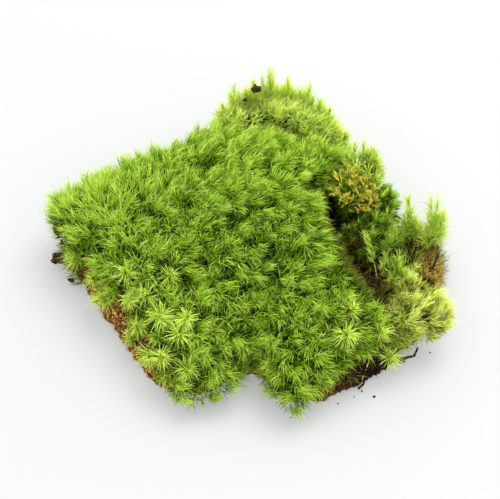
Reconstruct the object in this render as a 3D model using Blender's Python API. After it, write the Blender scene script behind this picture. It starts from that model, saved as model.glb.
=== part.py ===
"""A moss clump as it is lifted off the ground.

A thin brown mat of duff, soil and old moss stems is cut off flat underneath. On it grow the
cushions of a broom moss, parted by furrows, with a darker moss and a tuft of golden moss among
them on the right. Soil crumbs and bits of twig are caught in the edge of the mat. Each cushion
is one closed solid whose skin rises into the pointed heads of its shoots.

Lengths are in metres; places and outlines are written in millimetres and multiplied by MM.
The origin is the middle of the flat underside, with +Z up and the front towards -Y.
"""

import math

import bmesh
import bpy
import numpy as np
from mathutils.bvhtree import BVHTree

MM = 0.001

# Driving sizes, in millimetres
GAP = 1.0  # between the underside of a cushion and the mat
FLOOR_GAP = 1.5  # between the lowest hanging shoots and the ground
HEAD_SPACING = 4.6  # least distance between the feet of neighbouring shoot heads
HEAD_HEIGHT = 7.0  # how far a shoot head stands out of the cushion's skin
TIP_INSET = 2.8  # from the outline of the tips in to the skin between them
TIP_DROP = 5.5  # from the height of the tips down to the skin between them
FOOT_SQUARENESS = 7.0  # of a cushion's side below its widest contour, which stands nearly upright
MAT_SPACING = 6.5  # least distance between the points of the mat's rough side
MAT_HIDDEN_SPACING = 13.0  # the same on its underside
MAT_SQUARENESS = 7.0  # of the mat seen from the side

# Heights of the top of the duff mat: x, y, height. It thins out under the two front lobes.
MAT_HEIGHTS = [
    (-80, 12, 12),
    (-60, 0, 13),
    (-50, -45, 13),
    (0, 0, 13),
    (0, 70, 14),
    (-28, -70, 5),
    (-8, -66, 5),
    (18, -74, 5),
    (37, -64, 14),
    (56, -52, 15),
    (60, -20, 12),
    (76, -38, 11),
    (85, -9, 18),
    (85, 6, 17),
    (72, 12, 15),
    (55, 35, 13),
]
MAT_REACH = 14.0  # how far each of those heights counts

# Outline of the mat where it meets the ground: x, y, height of its widest contour
MAT_OUTLINE = [
    (-86, 10, 0),
    (-84, 2, 0),
    (-79, -7, 0),
    (-74, -16, 0),
    (-66, -27, 0),
    (-59, -38, 0),
    (-54, -48, 0),
    (-47, -58, 0),
    (-41, -67, 0),
    (-30, -70, 0),
    (-15, -66, 0),
    (1, -60, 0),
    (14, -71, 0),
    (24, -75, 0),
    (34, -74, 0),
    (43, -68.5, 0),
    (50, -63.5, 0),
    (57, -60.5, 0),
    (62.5, -56.5, 0),
    (65.5, -48.5, 0),
    (73, -43, 0),
    (80, -36, 0),
    (84, -26, 0),
    (85.5, -14, 0),
    (88, -4, 0),
    (88.5, 5, 0),
    (84, 12, 0),
    (75, 16, 0),
    (67, 21, 0),
    (59, 32, 0),
    (52, 44, 0),
    (44, 54, 0),
    (36, 68, 0),
    (24, 78, 0),
    (9, 82, 0),
    (-4, 79, 0),
    (-13, 66, 0),
    (-28, 48, 0),
    (-48, 36, 0),
    (-68, 27, 0),
    (-80, 18, 0),
]

# Crumbly places on top of the mat: x, y, half width, half depth
MAT_BARE = [(54, -24, 7, 15), (82, -12, 6, 8)]
MAT_SIDE = (0.02, 0.3)  # the part of the climb from foot to middle that is its crumbly side
MAT_CRUMBS = (0.6, 2.2)  # how far crumbs stand out there
MAT_WEAR = (-1.3, 0.65)  # how far the side is worn in and bulges out

# Outlines of the shoot tips: x, y, height at which that side of the cushion is widest
TURF_OUTLINE = [
    (-95, 14, 24),
    (-92, 3, 20),
    (-83, -7, 19),
    (-73, -18, 18),
    (-63, -31, 18),
    (-56, -41, 18),
    (-50, -53, 15),
    (-44, -65, 11),
    (-37, -76, 8),
    (-28, -83, 7),
    (-17, -81, 7),
    (-9, -76, 8),
    (-4, -66, 10),
    (0.5, -57, 11),
    (6, -67, 10),
    (11, -80, 8),
    (18, -87, 7),
    (26, -83, 8),
    (33, -76, 13),
    (42, -69, 16),
    (53, -62, 17),
    (62, -55, 18),
    (60.5, -46, 19),
    (55, -36, 20),
    (47.5, -24, 20),
    (42, -10, 21),
    (37, 4, 22),
    (34, 14, 24),
    (34.5, 26, 25),
    (39, 36, 26),
    (46, 40, 27),
    (46, 47, 28),
    (42, 51, 28),
    (33, 54, 28),
    (20, 57, 28),
    (5, 60, 28),
    (-8, 59.5, 28),
    (-20, 59.5, 28),
    (-34, 52, 28),
    (-46, 46, 28),
    (-58, 41, 28),
    (-70, 35.5, 28),
    (-83, 27.5, 27),
    (-92, 22, 26),
]
TURF_HEIGHTS = [
    (-90, 14, 35),
    (-60, 22, 42),
    (-25, 38, 45),
    (0, 52, 44),
    (25, 42, 44),
    (0, 5, 47),
    (-50, -8, 42),
    (-25, -15, 46),
    (28, -5, 44),
    (44, -20, 37),
    (-45, -40, 36),
    (-22, -48, 37),
    (-2, -44, 35),
    (18, -58, 36),
    (38, -44, 37),
    (55, -48, 33),
    (-28, -72, 24),
    (18, -78, 24),
]
TURF_REACH = 17.0
# Gaps between the shoots that show as dark holes: x, y, radius, depth
TURF_HOLLOWS = [
    (-46, -3, 4.5, 7),
    (-36, -11, 5.5, 9),
    (-64, -10, 4, 5),
    (-20, -26, 5.5, 8),
    (-36, -33, 5, 6),
    (-13, -52, 6, 8),
    (6, -34, 5, 6),
    (24, 20, 4.5, 5),
    (-22, 28, 4, 5),
]

BACK_RIDGE_OUTLINE = [
    (-18, 67, 26),
    (-13, 79, 27),
    (-4, 87, 28),
    (9, 90, 28),
    (21, 87, 28),
    (31, 80, 27),
    (39, 70, 27),
    (47, 58, 27),
    (44, 54.5, 28),
    (34, 57.5, 30),
    (21, 61, 31),
    (8, 64, 31),
    (-6, 63.5, 30),
    (-14, 62.5, 28),
]
BACK_RIDGE_HEIGHTS = [(-10, 72, 46), (8, 82, 49), (26, 76, 47), (38, 60, 45)]
BACK_TUFT_OUTLINE = [
    (50, 31.5, 27),
    (48.5, 39, 27),
    (49, 47, 27),
    (55, 51, 26),
    (62, 47, 26),
    (64.5, 38, 26),
    (62, 30.5, 27),
    (55.5, 28.5, 28),
]
GOLDEN_TUFT_OUTLINE = [
    (37.5, 19, 28),
    (37.5, 27, 28),
    (41, 34.5, 29),
    (46, 37, 29),
    (48, 30, 29),
    (54, 26, 28),
    (57, 18, 27),
    (52, 11, 27),
    (43, 11, 27),
]
DARK_PATCH_OUTLINE = [
    (57.5, 26, 24),
    (62, 28, 24),
    (67.5, 23, 22),
    (69, 15, 22),
    (66.5, 7, 22),
    (64.5, -2, 20),
    (57, -6, 19),
    (47, -8, 19),
    (41.5, -3, 20),
    (40, 4, 21),
    (43, 8.5, 22),
    (51, 8.5, 23),
    (57, 11.5, 24),
    (59, 18, 24),
]
DARK_PATCH_HEIGHTS = [(63, 19, 43), (62, 4, 34), (47, 0, 30)]
BACK_TUFT_HEIGHT = 46
GOLDEN_TUFT_HEIGHT = 42
GULLY_TUFT_HEIGHT = 33
EDGE_TUFT_HEIGHT = 46
TALL_TUFT_HEIGHT = 49
GULLY_TUFT_OUTLINE = [
    (53.5, -13, 20),
    (55.5, -9, 20),
    (66, -6, 20),
    (75, -8, 20),
    (77, -14, 20),
    (73, -19, 20),
    (65, -20.5, 20),
    (58, -18, 20),
]
EDGE_TUFT_OUTLINE = [
    (69, 9, 28),
    (71, 14, 29),
    (75, 13.5, 29),
    (78, 8, 28),
    (78, 0, 26),
    (75.5, -4.5, 25),
    (70, -5, 25),
    (67.5, 1, 27),
]
TALL_TUFT_OUTLINE = [
    (80, 2, 32),
    (80.5, 9, 32),
    (84, 12.5, 32),
    (88.5, 9, 32),
    (91, 2, 31),
    (88.5, -5, 30),
    (83.5, -6.5, 30),
    (80.5, -3, 31),
]
PALE_LOBE_OUTLINE = [
    (61.5, -38, 19),
    (64, -29, 20),
    (68, -22.5, 21),
    (76, -21.5, 22),
    (81, -26, 22),
    (87, -30, 22),
    (92.5, -37, 22),
    (92.5, -45, 20),
    (86, -51, 16),
    (76, -54, 15),
    (67, -54, 16),
    (63.5, -47, 18),
]
PALE_LOBE_HEIGHTS = [(70, -28, 34), (84, -38, 38), (70, -46, 34)]

# Which way the shoots lean over the clump: x, y, lean to +X, lean to +Y
LEANS = [
    (-90, 12, -0.6, 0.1),
    (-60, 25, -0.3, 0.4),
    (-20, 50, 0.1, 0.5),
    (5, 82, 0.0, 0.2),
    (32, 62, 0.3, 0.3),
    (-50, -10, -0.3, -0.3),
    (-15, 0, 0.1, -0.2),
    (-48, -48, -0.5, -0.4),
    (-20, -68, 0.2, -0.7),
    (16, -68, 0.0, -0.8),
    (22, -20, 0.5, -0.3),
    (46, -48, 0.4, -0.5),
    (88, -38, 0.6, 0.0),
    (84, 5, 0.1, 0.2),
]
LEAN_REACH = 20.0

# Crumbs of soil: name, x, y, z, radius, and bits of wood: name, points along it, thickness
SOIL_CRUMBS = [
    ("soil_clod_left", (-90.8, 3.6, 4.4), 4.3),
    ("soil_crumb_left", (-83.6, -8.4, 2.6), 2.3),
    ("soil_clod_back", (3.0, 76.0, 44.5), 3.4),
    ("soil_crumb_back", (-2.2, 71.2, 42.0), 2.0),
]
SOIL_SEAT = (1.5, 74.5, 8.5, 9.0)  # hollow in the back ridge that the back soil lies in
TWIGS = [
    ("twig_front", [(67.0, -53.2, 0.9), (70.5, -51.8, 1.0), (74.0, -50.8, 1.2), (75.6, -48.0, 3.4)], 1.4),
    ("twig_stub_front", [(48.0, -68.6, 0.8), (50.2, -66.9, 2.0), (50.8, -66.6, 5.0)], 1.2),
    ("bark_sliver_right", [(86.4, -7.6, 20.0), (85.0, -11.0, 19.4), (83.4, -14.6, 18.2)], 1.5),
]

# Colours, linear RGB
GREEN = (0.20, 0.38, 0.035)
PALE_GREEN = (0.36, 0.46, 0.09)
DARK_GREEN = (0.055, 0.15, 0.02)
GOLD = (0.42, 0.27, 0.04)
DUFF_BROWN = (0.13, 0.062, 0.022)
SOIL_BROWN = (0.03, 0.018, 0.012)
BARK_BROWN = (0.05, 0.03, 0.02)


def clear_scene():
    for old in list(bpy.data.objects):
        bpy.data.objects.remove(old, do_unlink=True)


def material(name, colour, roughness):
    made = bpy.data.materials.new(name)
    made.use_nodes = True
    shader = made.node_tree.nodes["Principled BSDF"]
    shader.inputs["Base Color"].default_value = (*colour, 1.0)
    shader.inputs["Roughness"].default_value = roughness
    shader.inputs["Metallic"].default_value = 0.0
    return made


def blended(spots, reach):
    """A smooth field through spot values: each row is x, y and then what holds near it.

    The value at a place is the mean of the spots, weighted by a Gaussian of their distance."""
    rows = np.asarray(spots, float)

    def field(x, y):
        away = (x[..., None] - rows[:, 0]) ** 2 + (y[..., None] - rows[:, 1]) ** 2
        weight = np.exp(-(away - away.min(axis=-1, keepdims=True)) / (2 * reach**2))
        weight /= weight.sum(axis=-1, keepdims=True)
        return weight @ rows[:, 2:]

    return field


def waves(x, y, length, seed):
    """Gentle unevenness between -1 and 1: the mean of five plane waves of about that length."""
    random = np.random.RandomState(seed)
    total = np.zeros(np.shape(x))
    for _ in range(5):
        turn, phase = random.uniform(0, 2 * math.pi, 2)
        stretch = length * random.uniform(0.7, 1.4)
        total += np.sin((x * math.cos(turn) + y * math.sin(turn)) * 2 * math.pi / stretch + phase)
    return total / 5


mat_height = blended(MAT_HEIGHTS, MAT_REACH)
lean_field = blended(LEANS, LEAN_REACH)


def mat_top(x, y):
    return mat_height(x, y)[..., 0]


def cushion_bottom(x, y):
    return mat_top(x, y) + GAP


def flat_top(height):
    def top(x, y):
        return np.full(np.shape(x), float(height))

    return top


def lowered(top, drop):
    def under(x, y):
        return top(x, y) - drop

    return under


def rolling_top(spots, reach, hollows, seed, swell=1.6, length=30.0):
    """The height of the skin over a place: the spot heights, gently uneven, less the hollows."""
    heights = blended(spots, reach)

    def top(x, y):
        z = heights(x, y)[..., 0] + swell * waves(x, y, length, seed)
        for hollow_x, hollow_y, radius, depth in hollows:
            away = ((x - hollow_x) ** 2 + (y - hollow_y) ** 2) / radius**2
            z = z - depth * np.exp(-away)
        return z

    return top


def closed_curve(points, per_span=8):
    """A smooth closed curve through the points, each span a cubic whose end slopes are those
    of the chord between the neighbouring points."""
    p = np.asarray(points, float)
    before, after, beyond = np.roll(p, 1, 0), np.roll(p, -1, 0), np.roll(p, -2, 0)
    t = np.linspace(0, 1, per_span, endpoint=False)[:, None, None]
    square = 2 * before - 5 * p + 4 * after - beyond
    cube = 3 * p - before - 3 * after + beyond
    curve = 0.5 * (2 * p + (after - before) * t + square * t**2 + cube * t**3)
    return curve.transpose(1, 0, 2).reshape(-1, p.shape[1])


class Form:
    """A closed form that every ray from its middle meets once.

    A point on it has a turn, its direction in plan, and a climb, which is 1 at the crown, 0 on
    the widest contour and -1 at the middle of the underside. Seen from the side it is a
    superellipse, so a high squareness gives a flat top and steep sides."""

    def __init__(self, outline, middle, top, bottom, inset, squareness, rim_latitude=0.0):
        curve = closed_curve(outline)
        offset = curve[:, :2] - middle
        turn = np.arctan2(offset[:, 1], offset[:, 0])
        order = np.argsort(turn)
        self.turns = turn[order]
        self.radii = np.hypot(offset[order, 0], offset[order, 1])
        self.even_radii = self.rounded(self.turns, self.radii)
        self.rims = curve[order, 2]
        self.middle = np.asarray(middle, float)
        self.top = top
        self.bottom = bottom
        self.inset = inset
        self.squareness = squareness
        self.rim_latitude = rim_latitude
        self.above = self.climb_table(top, squareness)
        self.below = self.climb_table(bottom, FOOT_SQUARENESS)

    def rounded(self, turns, radii, reach=0.5):
        """The outline's radii with its notches smoothed out: means over about that angle."""
        even = np.linspace(-math.pi, math.pi, 360, endpoint=False)
        between = np.abs((turns[:, None] - even + math.pi) % (2 * math.pi) - math.pi)
        weight = np.exp(-((between / reach) ** 2))
        return weight @ np.interp(even, turns, radii, period=2 * math.pi) / weight.sum(axis=1)

    def climb_table(self, end, squareness):
        """Shares of the way from the widest contour over to the middle, and the superellipse
        angle that each share needs."""
        angle = np.linspace(0, math.pi / 2, 400)
        radius = self.radii.mean() - self.inset
        height = abs(end(*self.middle[:, None])[0] - self.rims.mean())
        across = radius * np.cos(angle).clip(0, 1) ** (2 / squareness)
        up = height * np.sin(angle).clip(0, 1) ** (2 / squareness)
        length = np.concatenate([[0], np.cumsum(np.hypot(np.diff(across), np.diff(up)))])
        return length / length[-1], angle

    def foot_climb(self):
        """The climb at which the side below the widest contour turns under."""
        share, angle = self.below
        turned = np.cos(angle).clip(0, 1) ** (2 / FOOT_SQUARENESS)
        return -share[np.flatnonzero(turned < 0.96)[0]]

    def tip_radius(self, turn):
        return np.interp(turn, self.turns, self.radii, period=2 * math.pi)

    def place(self, turn, climb):
        """The points of the skin, in millimetres, for arrays of turns and climbs."""
        upper = climb >= 0
        bend = np.where(upper, np.interp(climb, *self.above), np.interp(-climb, *self.below))
        power = 2 / np.where(upper, self.squareness, FOOT_SQUARENESS)
        out = np.cos(bend).clip(0, 1) ** power
        rise = np.sin(bend).clip(0, 1) ** power
        even = np.interp(turn, self.turns, self.even_radii, period=2 * math.pi)
        # A notch in the outline fades towards the middle of the cushion
        radius = (even + (self.tip_radius(turn) - even) * out**2 - self.inset) * out
        rim = np.interp(turn, self.turns, self.rims, period=2 * math.pi)
        x = self.middle[0] + radius * np.cos(turn)
        y = self.middle[1] + radius * np.sin(turn)
        end = np.where(upper, self.top(x, y), self.bottom(x, y))
        return np.stack([x, y, rim + (end - rim) * rise], axis=-1)

    def direction(self, turn, climb):
        """The unit vector that stands for a point when neighbours are worked out."""
        above = self.rim_latitude + (math.pi / 2 - self.rim_latitude) * climb
        below = self.rim_latitude + (math.pi / 2 + self.rim_latitude) * climb
        latitude = np.where(climb >= 0, above, below)
        level = np.cos(latitude)
        return np.stack([level * np.cos(turn), level * np.sin(turn), np.sin(latitude)], axis=-1)

    def contour(self, climb, spacing):
        """Turns at even steps along the contour at that climb."""
        turn = np.linspace(-math.pi, math.pi, 721)
        line = self.place(turn, np.full(721, climb))
        length = np.concatenate([[0], np.cumsum(np.linalg.norm(np.diff(line, axis=0), axis=1))])
        steps = max(6, round(length[-1] / spacing))
        return np.interp(np.arange(steps) * length[-1] / steps, length, turn)

    def scatter(self, spacing, under_spacing, fixed, seed, tries=24000):
        """Turns and climbs spread over the form, no two places nearer than the spacing, with
        the fixed ones first."""
        random = np.random.RandomState(seed)
        turn = np.concatenate([fixed[0], random.uniform(-math.pi, math.pi, tries)])
        climb = np.concatenate([fixed[1], random.uniform(self.foot_climb() * 1.2, 1, tries // 2)])
        climb = np.concatenate([climb, random.uniform(-1, 1, tries - tries // 2)])
        place = self.place(turn, climb)
        under = np.clip((self.foot_climb() - climb) * 8, 0, 1)
        apart = spacing + (under_spacing - spacing) * under
        kept = np.empty_like(place)
        chosen = []
        for i in range(len(turn)):
            count = len(chosen)
            away = ((kept[:count] - place[i]) ** 2).sum(axis=1)
            if i >= len(fixed[0]) and count and away.min() < apart[i] ** 2:
                continue
            kept[count] = place[i]
            chosen.append(i)
        return turn[chosen], climb[chosen]


def neighbours(directions):
    """Triangles that join each point to its neighbours all round: the convex hull of their
    unit directions, which is the Delaunay net on a sphere."""
    bm = bmesh.new()
    for i, direction in enumerate(directions):
        bm.verts.new(direction * 10).index = i
    bm.verts.ensure_lookup_table()
    bmesh.ops.convex_hull(bm, input=bm.verts[:], use_existing_faces=False)
    bmesh.ops.triangulate(bm, faces=bm.faces[:])
    bmesh.ops.recalc_face_normals(bm, faces=bm.faces[:])
    faces = np.array([[corner.index for corner in face.verts] for face in bm.faces])
    bm.free()
    return faces


def raise_heads(points, faces, chosen, tips):
    """Each chosen triangle becomes a three-sided peak with its tip at the given point."""
    first = len(points)
    peak = first + np.arange(len(chosen))
    a, b, c = faces[chosen].T
    sides = [np.stack(side, 1) for side in ((a, b, peak), (b, c, peak), (c, a, peak))]
    rest = np.delete(faces, chosen, axis=0)
    return np.concatenate([points, tips]), np.concatenate([rest, *sides])


def shortened(points, faces, chosen, tips):
    """The tips again, with any head that runs through another one drawn in until it is clear."""
    foot = points[faces[chosen]].mean(axis=1)
    flat = len(faces) - len(chosen)
    for _ in range(12):
        corners, net = raise_heads(points, faces, chosen, tips)
        tree = BVHTree.FromPolygons(corners.tolist(), net.tolist())
        pairs = np.array(tree.overlap(tree), int).reshape(-1, 2)
        first, second = net[pairs[:, 0]], net[pairs[:, 1]]
        apart = ~(first[:, :, None] == second[:, None, :]).any(axis=(1, 2))
        crossing = np.unique(pairs[apart])
        heads = np.unique((crossing[crossing >= flat] - flat) % len(chosen))
        if not len(heads):
            break
        tips[heads] = foot[heads] + 0.8 * (tips[heads] - foot[heads])
    return tips


def add_object(name, points, faces, finish, smooth=False):
    mesh = bpy.data.meshes.new(name)
    mesh.from_pydata((points * MM).tolist(), [], faces.tolist())
    mesh.update()
    mesh.materials.append(finish)
    if smooth:
        mesh.shade_smooth()
    made = bpy.data.objects.new(name, mesh)
    bpy.context.scene.collection.objects.link(made)
    return made


def shoot_heads(form, points, faces, climb, height, seed, bare=()):
    """Which triangles of a cushion carry a shoot head, and where the tips are.

    A head stands out along the skin's normal, turned upwards and with the lean of the shoots
    around it, and its tip stays inside the cushion's outline and off the ground."""
    random = np.random.RandomState(seed)
    corners = points[faces]
    centre = corners.mean(axis=1)
    normal = np.cross(corners[:, 1] - corners[:, 0], corners[:, 2] - corners[:, 0])
    area = np.linalg.norm(normal, axis=1, keepdims=True) / 2
    normal = normal / (2 * area + 1e-9)
    grows = climb[faces].mean(axis=1) > form.foot_climb() * 0.7
    grows &= normal[:, 2] > -0.65
    for x, y, radius in bare:
        grows &= np.hypot(centre[:, 0] - x, centre[:, 1] - y) > radius
    chosen = np.flatnonzero(grows)
    centre, normal, area = centre[chosen], normal[chosen], area[chosen, 0]
    lean = lean_field(centre[:, 0], centre[:, 1])
    heading = normal + np.stack([0.5 * lean[:, 0], 0.5 * lean[:, 1], np.full(len(lean), 0.3)], 1)
    heading += random.normal(0, 0.12, heading.shape)
    heading /= np.linalg.norm(heading, axis=1, keepdims=True)
    usual_area = 0.62 * HEAD_SPACING**2
    size = height * random.uniform(0.8, 1.2, len(chosen)) * np.clip(area / usual_area, 0.35, 1.2) ** 0.5
    tips = centre + heading * size[:, None]
    offset = tips[:, :2] - form.middle
    reach = np.hypot(offset[:, 0], offset[:, 1])
    most = form.tip_radius(np.arctan2(offset[:, 1], offset[:, 0]))
    tips[:, :2] = form.middle + offset * np.minimum(1, most / reach)[:, None]
    lowest = np.maximum(FLOOR_GAP, np.minimum(centre[:, 2] - 1.5, 6.0))
    tips[:, 2] = np.maximum(tips[:, 2], lowest)
    return chosen, tips


def cushion(name, outline, middle, top, finish, seed, **shape):
    """One cushion of moss: a rounded form over the mat, with a pointed head on each triangle."""
    height = shape.get("height", HEAD_HEIGHT)
    spacing = shape.get("spacing", HEAD_SPACING)
    form = Form(
        outline,
        middle,
        lowered(top, shape.get("drop", TIP_DROP)),
        cushion_bottom,
        shape.get("inset", TIP_INSET),
        shape.get("squareness", 3.0),
        shape.get("rim_latitude", 0.0),
    )
    foot = form.foot_climb()
    waist_turn = form.contour(0.0, spacing * 1.25)
    foot_turn = form.contour(foot, spacing * 1.4)
    fixed_turn = np.concatenate([waist_turn, foot_turn])
    fixed_climb = np.concatenate([np.zeros(len(waist_turn)), np.full(len(foot_turn), foot)])
    turn, climb = form.scatter(spacing, 2.0 * spacing, (fixed_turn, fixed_climb), seed)
    points = form.place(turn, climb)
    faces = neighbours(form.direction(turn, climb))
    chosen, tips = shoot_heads(form, points, faces, climb, height, seed + 1, shape.get("bare", ()))
    tips = shortened(points, faces, chosen, tips)
    points, faces = raise_heads(points, faces, chosen, tips)
    return add_object(name, points, faces, finish)


def duff_mat(finish):
    """The mat: flat underneath, with a crumbly side that leans in a little towards its top."""
    random = np.random.RandomState(5)
    form = Form(MAT_OUTLINE, (0, 0), mat_top, flat_top(0), 0.0, MAT_SQUARENESS)
    foot_turn = form.contour(0.0, MAT_SPACING)
    fixed = (foot_turn, np.zeros(len(foot_turn)))
    turn, climb = form.scatter(MAT_SPACING, MAT_HIDDEN_SPACING, fixed, 6)
    points = form.place(turn, climb)
    foot = climb <= 0
    points[foot, 2] = 0
    worn = (climb >= 0) & (climb < 1.5 * MAT_SIDE[1])
    offset = points[:, :2] - form.middle
    outward = offset / np.linalg.norm(offset, axis=1, keepdims=True)
    points[:, :2] += outward * (worn * random.uniform(*MAT_WEAR, len(points)))[:, None]
    points[~foot, 2] -= random.uniform(0, 1.0, (~foot).sum())
    faces = neighbours(form.direction(turn, climb - 0.02))
    centre = points[faces].mean(axis=1)
    middle_climb = climb[faces].mean(axis=1)
    crumbly = (middle_climb > MAT_SIDE[0]) & (middle_climb < MAT_SIDE[1])
    for x, y, half_width, half_depth in MAT_BARE:
        crumbly |= np.hypot((centre[:, 0] - x) / half_width, (centre[:, 1] - y) / half_depth) < 1
    chosen = np.flatnonzero(crumbly)
    corners = points[faces[chosen]]
    normal = np.cross(corners[:, 1] - corners[:, 0], corners[:, 2] - corners[:, 0])
    normal /= np.linalg.norm(normal, axis=1, keepdims=True)
    tips = corners.mean(axis=1) + normal * random.uniform(*MAT_CRUMBS, (len(chosen), 1))
    tips[:, 2] = np.clip(tips[:, 2], 0.6, mat_top(tips[:, 0], tips[:, 1]) - 0.2)
    points, faces = raise_heads(points, faces, chosen, tips)
    return add_object("duff_mat", points, faces, finish)


def crumb(name, place, radius, finish, seed):
    """A crumb of soil: a ball of 80 triangles with its corners pushed in and out."""
    random = np.random.RandomState(seed)
    bm = bmesh.new()
    bmesh.ops.create_icosphere(bm, subdivisions=2, radius=1.0)
    points = np.array([vert.co[:] for vert in bm.verts])
    faces = np.array([[vert.index for vert in face.verts] for face in bm.faces])
    bm.free()
    points *= radius * random.uniform(0.78, 1.06, (len(points), 1))
    points = points * (1.0, 0.9, 0.85) + place
    return add_object(name, points, faces, finish)


def twig(name, path, thickness, finish, seed):
    """A bit of wood: a six-sided tube along a few points, thinner at the end, a little knotty."""
    random = np.random.RandomState(seed)
    path = np.asarray(path, float)
    steps = np.linspace(0, len(path) - 1, 4 * len(path) - 3)
    spine = np.stack([np.interp(steps, np.arange(len(path)), path[:, k]) for k in range(3)], 1)
    along = np.gradient(spine, axis=0)
    along /= np.linalg.norm(along, axis=1, keepdims=True)
    side = np.cross(along, (0.3, -0.2, 1.0))
    side /= np.linalg.norm(side, axis=1, keepdims=True)
    over = np.cross(along, side)
    around = np.linspace(0, 2 * math.pi, 6, endpoint=False)
    radius = thickness / 2 * np.linspace(1.0, 0.65, len(spine)) * random.uniform(0.85, 1.1, len(spine))
    ring = np.cos(around)[None, :, None] * side[:, None] + np.sin(around)[None, :, None] * over[:, None]
    points = (spine[:, None] + ring * radius[:, None, None]).reshape(-1, 3)
    faces = []
    for row in range(len(spine) - 1):
        for k in range(6):
            a, b = row * 6 + k, row * 6 + (k + 1) % 6
            faces += [(a, b, b + 6), (a, b + 6, a + 6)]
    last = 6 * (len(spine) - 1)
    for k in range(1, 5):
        faces += [(0, k + 1, k), (last, last + k, last + k + 1)]
    return add_object(name, points, np.array(faces), finish)


def build():
    clear_scene()
    green = material("broom_moss", GREEN, 0.6)
    pale = material("pale_moss", PALE_GREEN, 0.6)
    dark = material("dark_moss", DARK_GREEN, 0.6)
    gold = material("golden_moss", GOLD, 0.6)
    brown = material("duff", DUFF_BROWN, 0.9)
    soil = material("soil", SOIL_BROWN, 0.95)
    bark = material("bark", BARK_BROWN, 0.8)

    duff_mat(brown)
    turf_top = rolling_top(TURF_HEIGHTS, TURF_REACH, TURF_HOLLOWS, 11)
    cushion("broom_moss_turf", TURF_OUTLINE, (-6, -2), turf_top, green, 21)
    ridge_top = rolling_top(BACK_RIDGE_HEIGHTS, 12, [SOIL_SEAT], 12)
    cushion(
        "broom_moss_back_ridge", BACK_RIDGE_OUTLINE, (13, 71), ridge_top, green, 31,
        bare=[SOIL_SEAT[:3]],
    )
    cushion(
        "broom_moss_back_tuft", BACK_TUFT_OUTLINE, (56, 39.5), flat_top(BACK_TUFT_HEIGHT), green, 41,
        rim_latitude=-0.6, spacing=4.2,
    )
    cushion(
        "golden_moss_tuft", GOLDEN_TUFT_OUTLINE, (46.5, 22), flat_top(GOLDEN_TUFT_HEIGHT), gold, 51,
        rim_latitude=-0.5, spacing=4.0, height=6.5,
    )
    patch_top = rolling_top(DARK_PATCH_HEIGHTS, 8, [], 13, swell=0.8)
    cushion(
        "dark_green_moss_patch", DARK_PATCH_OUTLINE, (62, 5), patch_top, dark, 61,
        spacing=3.8, height=4.5, drop=3.5,
    )
    cushion(
        "broom_moss_gully_tuft", GULLY_TUFT_OUTLINE, (65.5, -13), flat_top(GULLY_TUFT_HEIGHT), green, 71,
        rim_latitude=-0.4, spacing=4.2,
    )
    cushion(
        "broom_moss_edge_tuft", EDGE_TUFT_OUTLINE, (73, 4), flat_top(EDGE_TUFT_HEIGHT), green, 81,
        rim_latitude=-0.7, spacing=3.9, inset=2.0,
    )
    cushion(
        "broom_moss_tall_tuft", TALL_TUFT_OUTLINE, (85, 2.5), flat_top(TALL_TUFT_HEIGHT), green, 91,
        rim_latitude=-0.7, spacing=3.9, inset=2.2,
    )
    lobe_top = rolling_top(PALE_LOBE_HEIGHTS, 9, [], 14, swell=0.8)
    cushion("pale_moss_lobe", PALE_LOBE_OUTLINE, (76, -38), lobe_top, pale, 101, height=8.0, drop=6.5)
    for seed, (name, place, radius) in enumerate(SOIL_CRUMBS):
        crumb(name, place, radius, soil, seed)
    for seed, (name, path, thickness) in enumerate(TWIGS):
        twig(name, path, thickness, bark, seed)


build()
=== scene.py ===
"""The looks of a moss clump: every leaf of its cushions, the crumbly mat and what is caught in it.

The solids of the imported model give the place, lean and height of every shoot head. Lengths are in
metres; places in the tables of growth are in millimetres, as are sizes multiplied by MM.
"""

import math

import bmesh
import bpy
import numpy as np
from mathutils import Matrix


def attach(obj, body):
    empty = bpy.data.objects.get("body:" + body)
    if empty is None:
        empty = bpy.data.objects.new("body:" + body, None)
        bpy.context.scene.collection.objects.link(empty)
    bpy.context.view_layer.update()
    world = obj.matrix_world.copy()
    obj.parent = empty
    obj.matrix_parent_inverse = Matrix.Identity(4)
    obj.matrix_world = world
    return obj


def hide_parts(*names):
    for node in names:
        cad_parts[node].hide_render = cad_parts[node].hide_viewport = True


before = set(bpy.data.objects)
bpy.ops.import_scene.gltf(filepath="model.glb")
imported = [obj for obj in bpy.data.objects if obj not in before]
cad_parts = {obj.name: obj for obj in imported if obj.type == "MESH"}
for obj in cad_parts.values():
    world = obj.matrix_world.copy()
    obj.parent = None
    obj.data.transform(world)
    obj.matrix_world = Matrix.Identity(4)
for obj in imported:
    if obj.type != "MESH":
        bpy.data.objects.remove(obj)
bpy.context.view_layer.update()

MM = 0.001


# The turf of broom moss, most of the clump. Its shoots stand shoulder to shoulder, each with a tuft
# of fine channelled leaves that curve to one side, or that open like a star at the left and front
# edges. It is grown in four pieces and one of open heads, over a core with undergrowth, both dark
# partly with painted shade.

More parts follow.
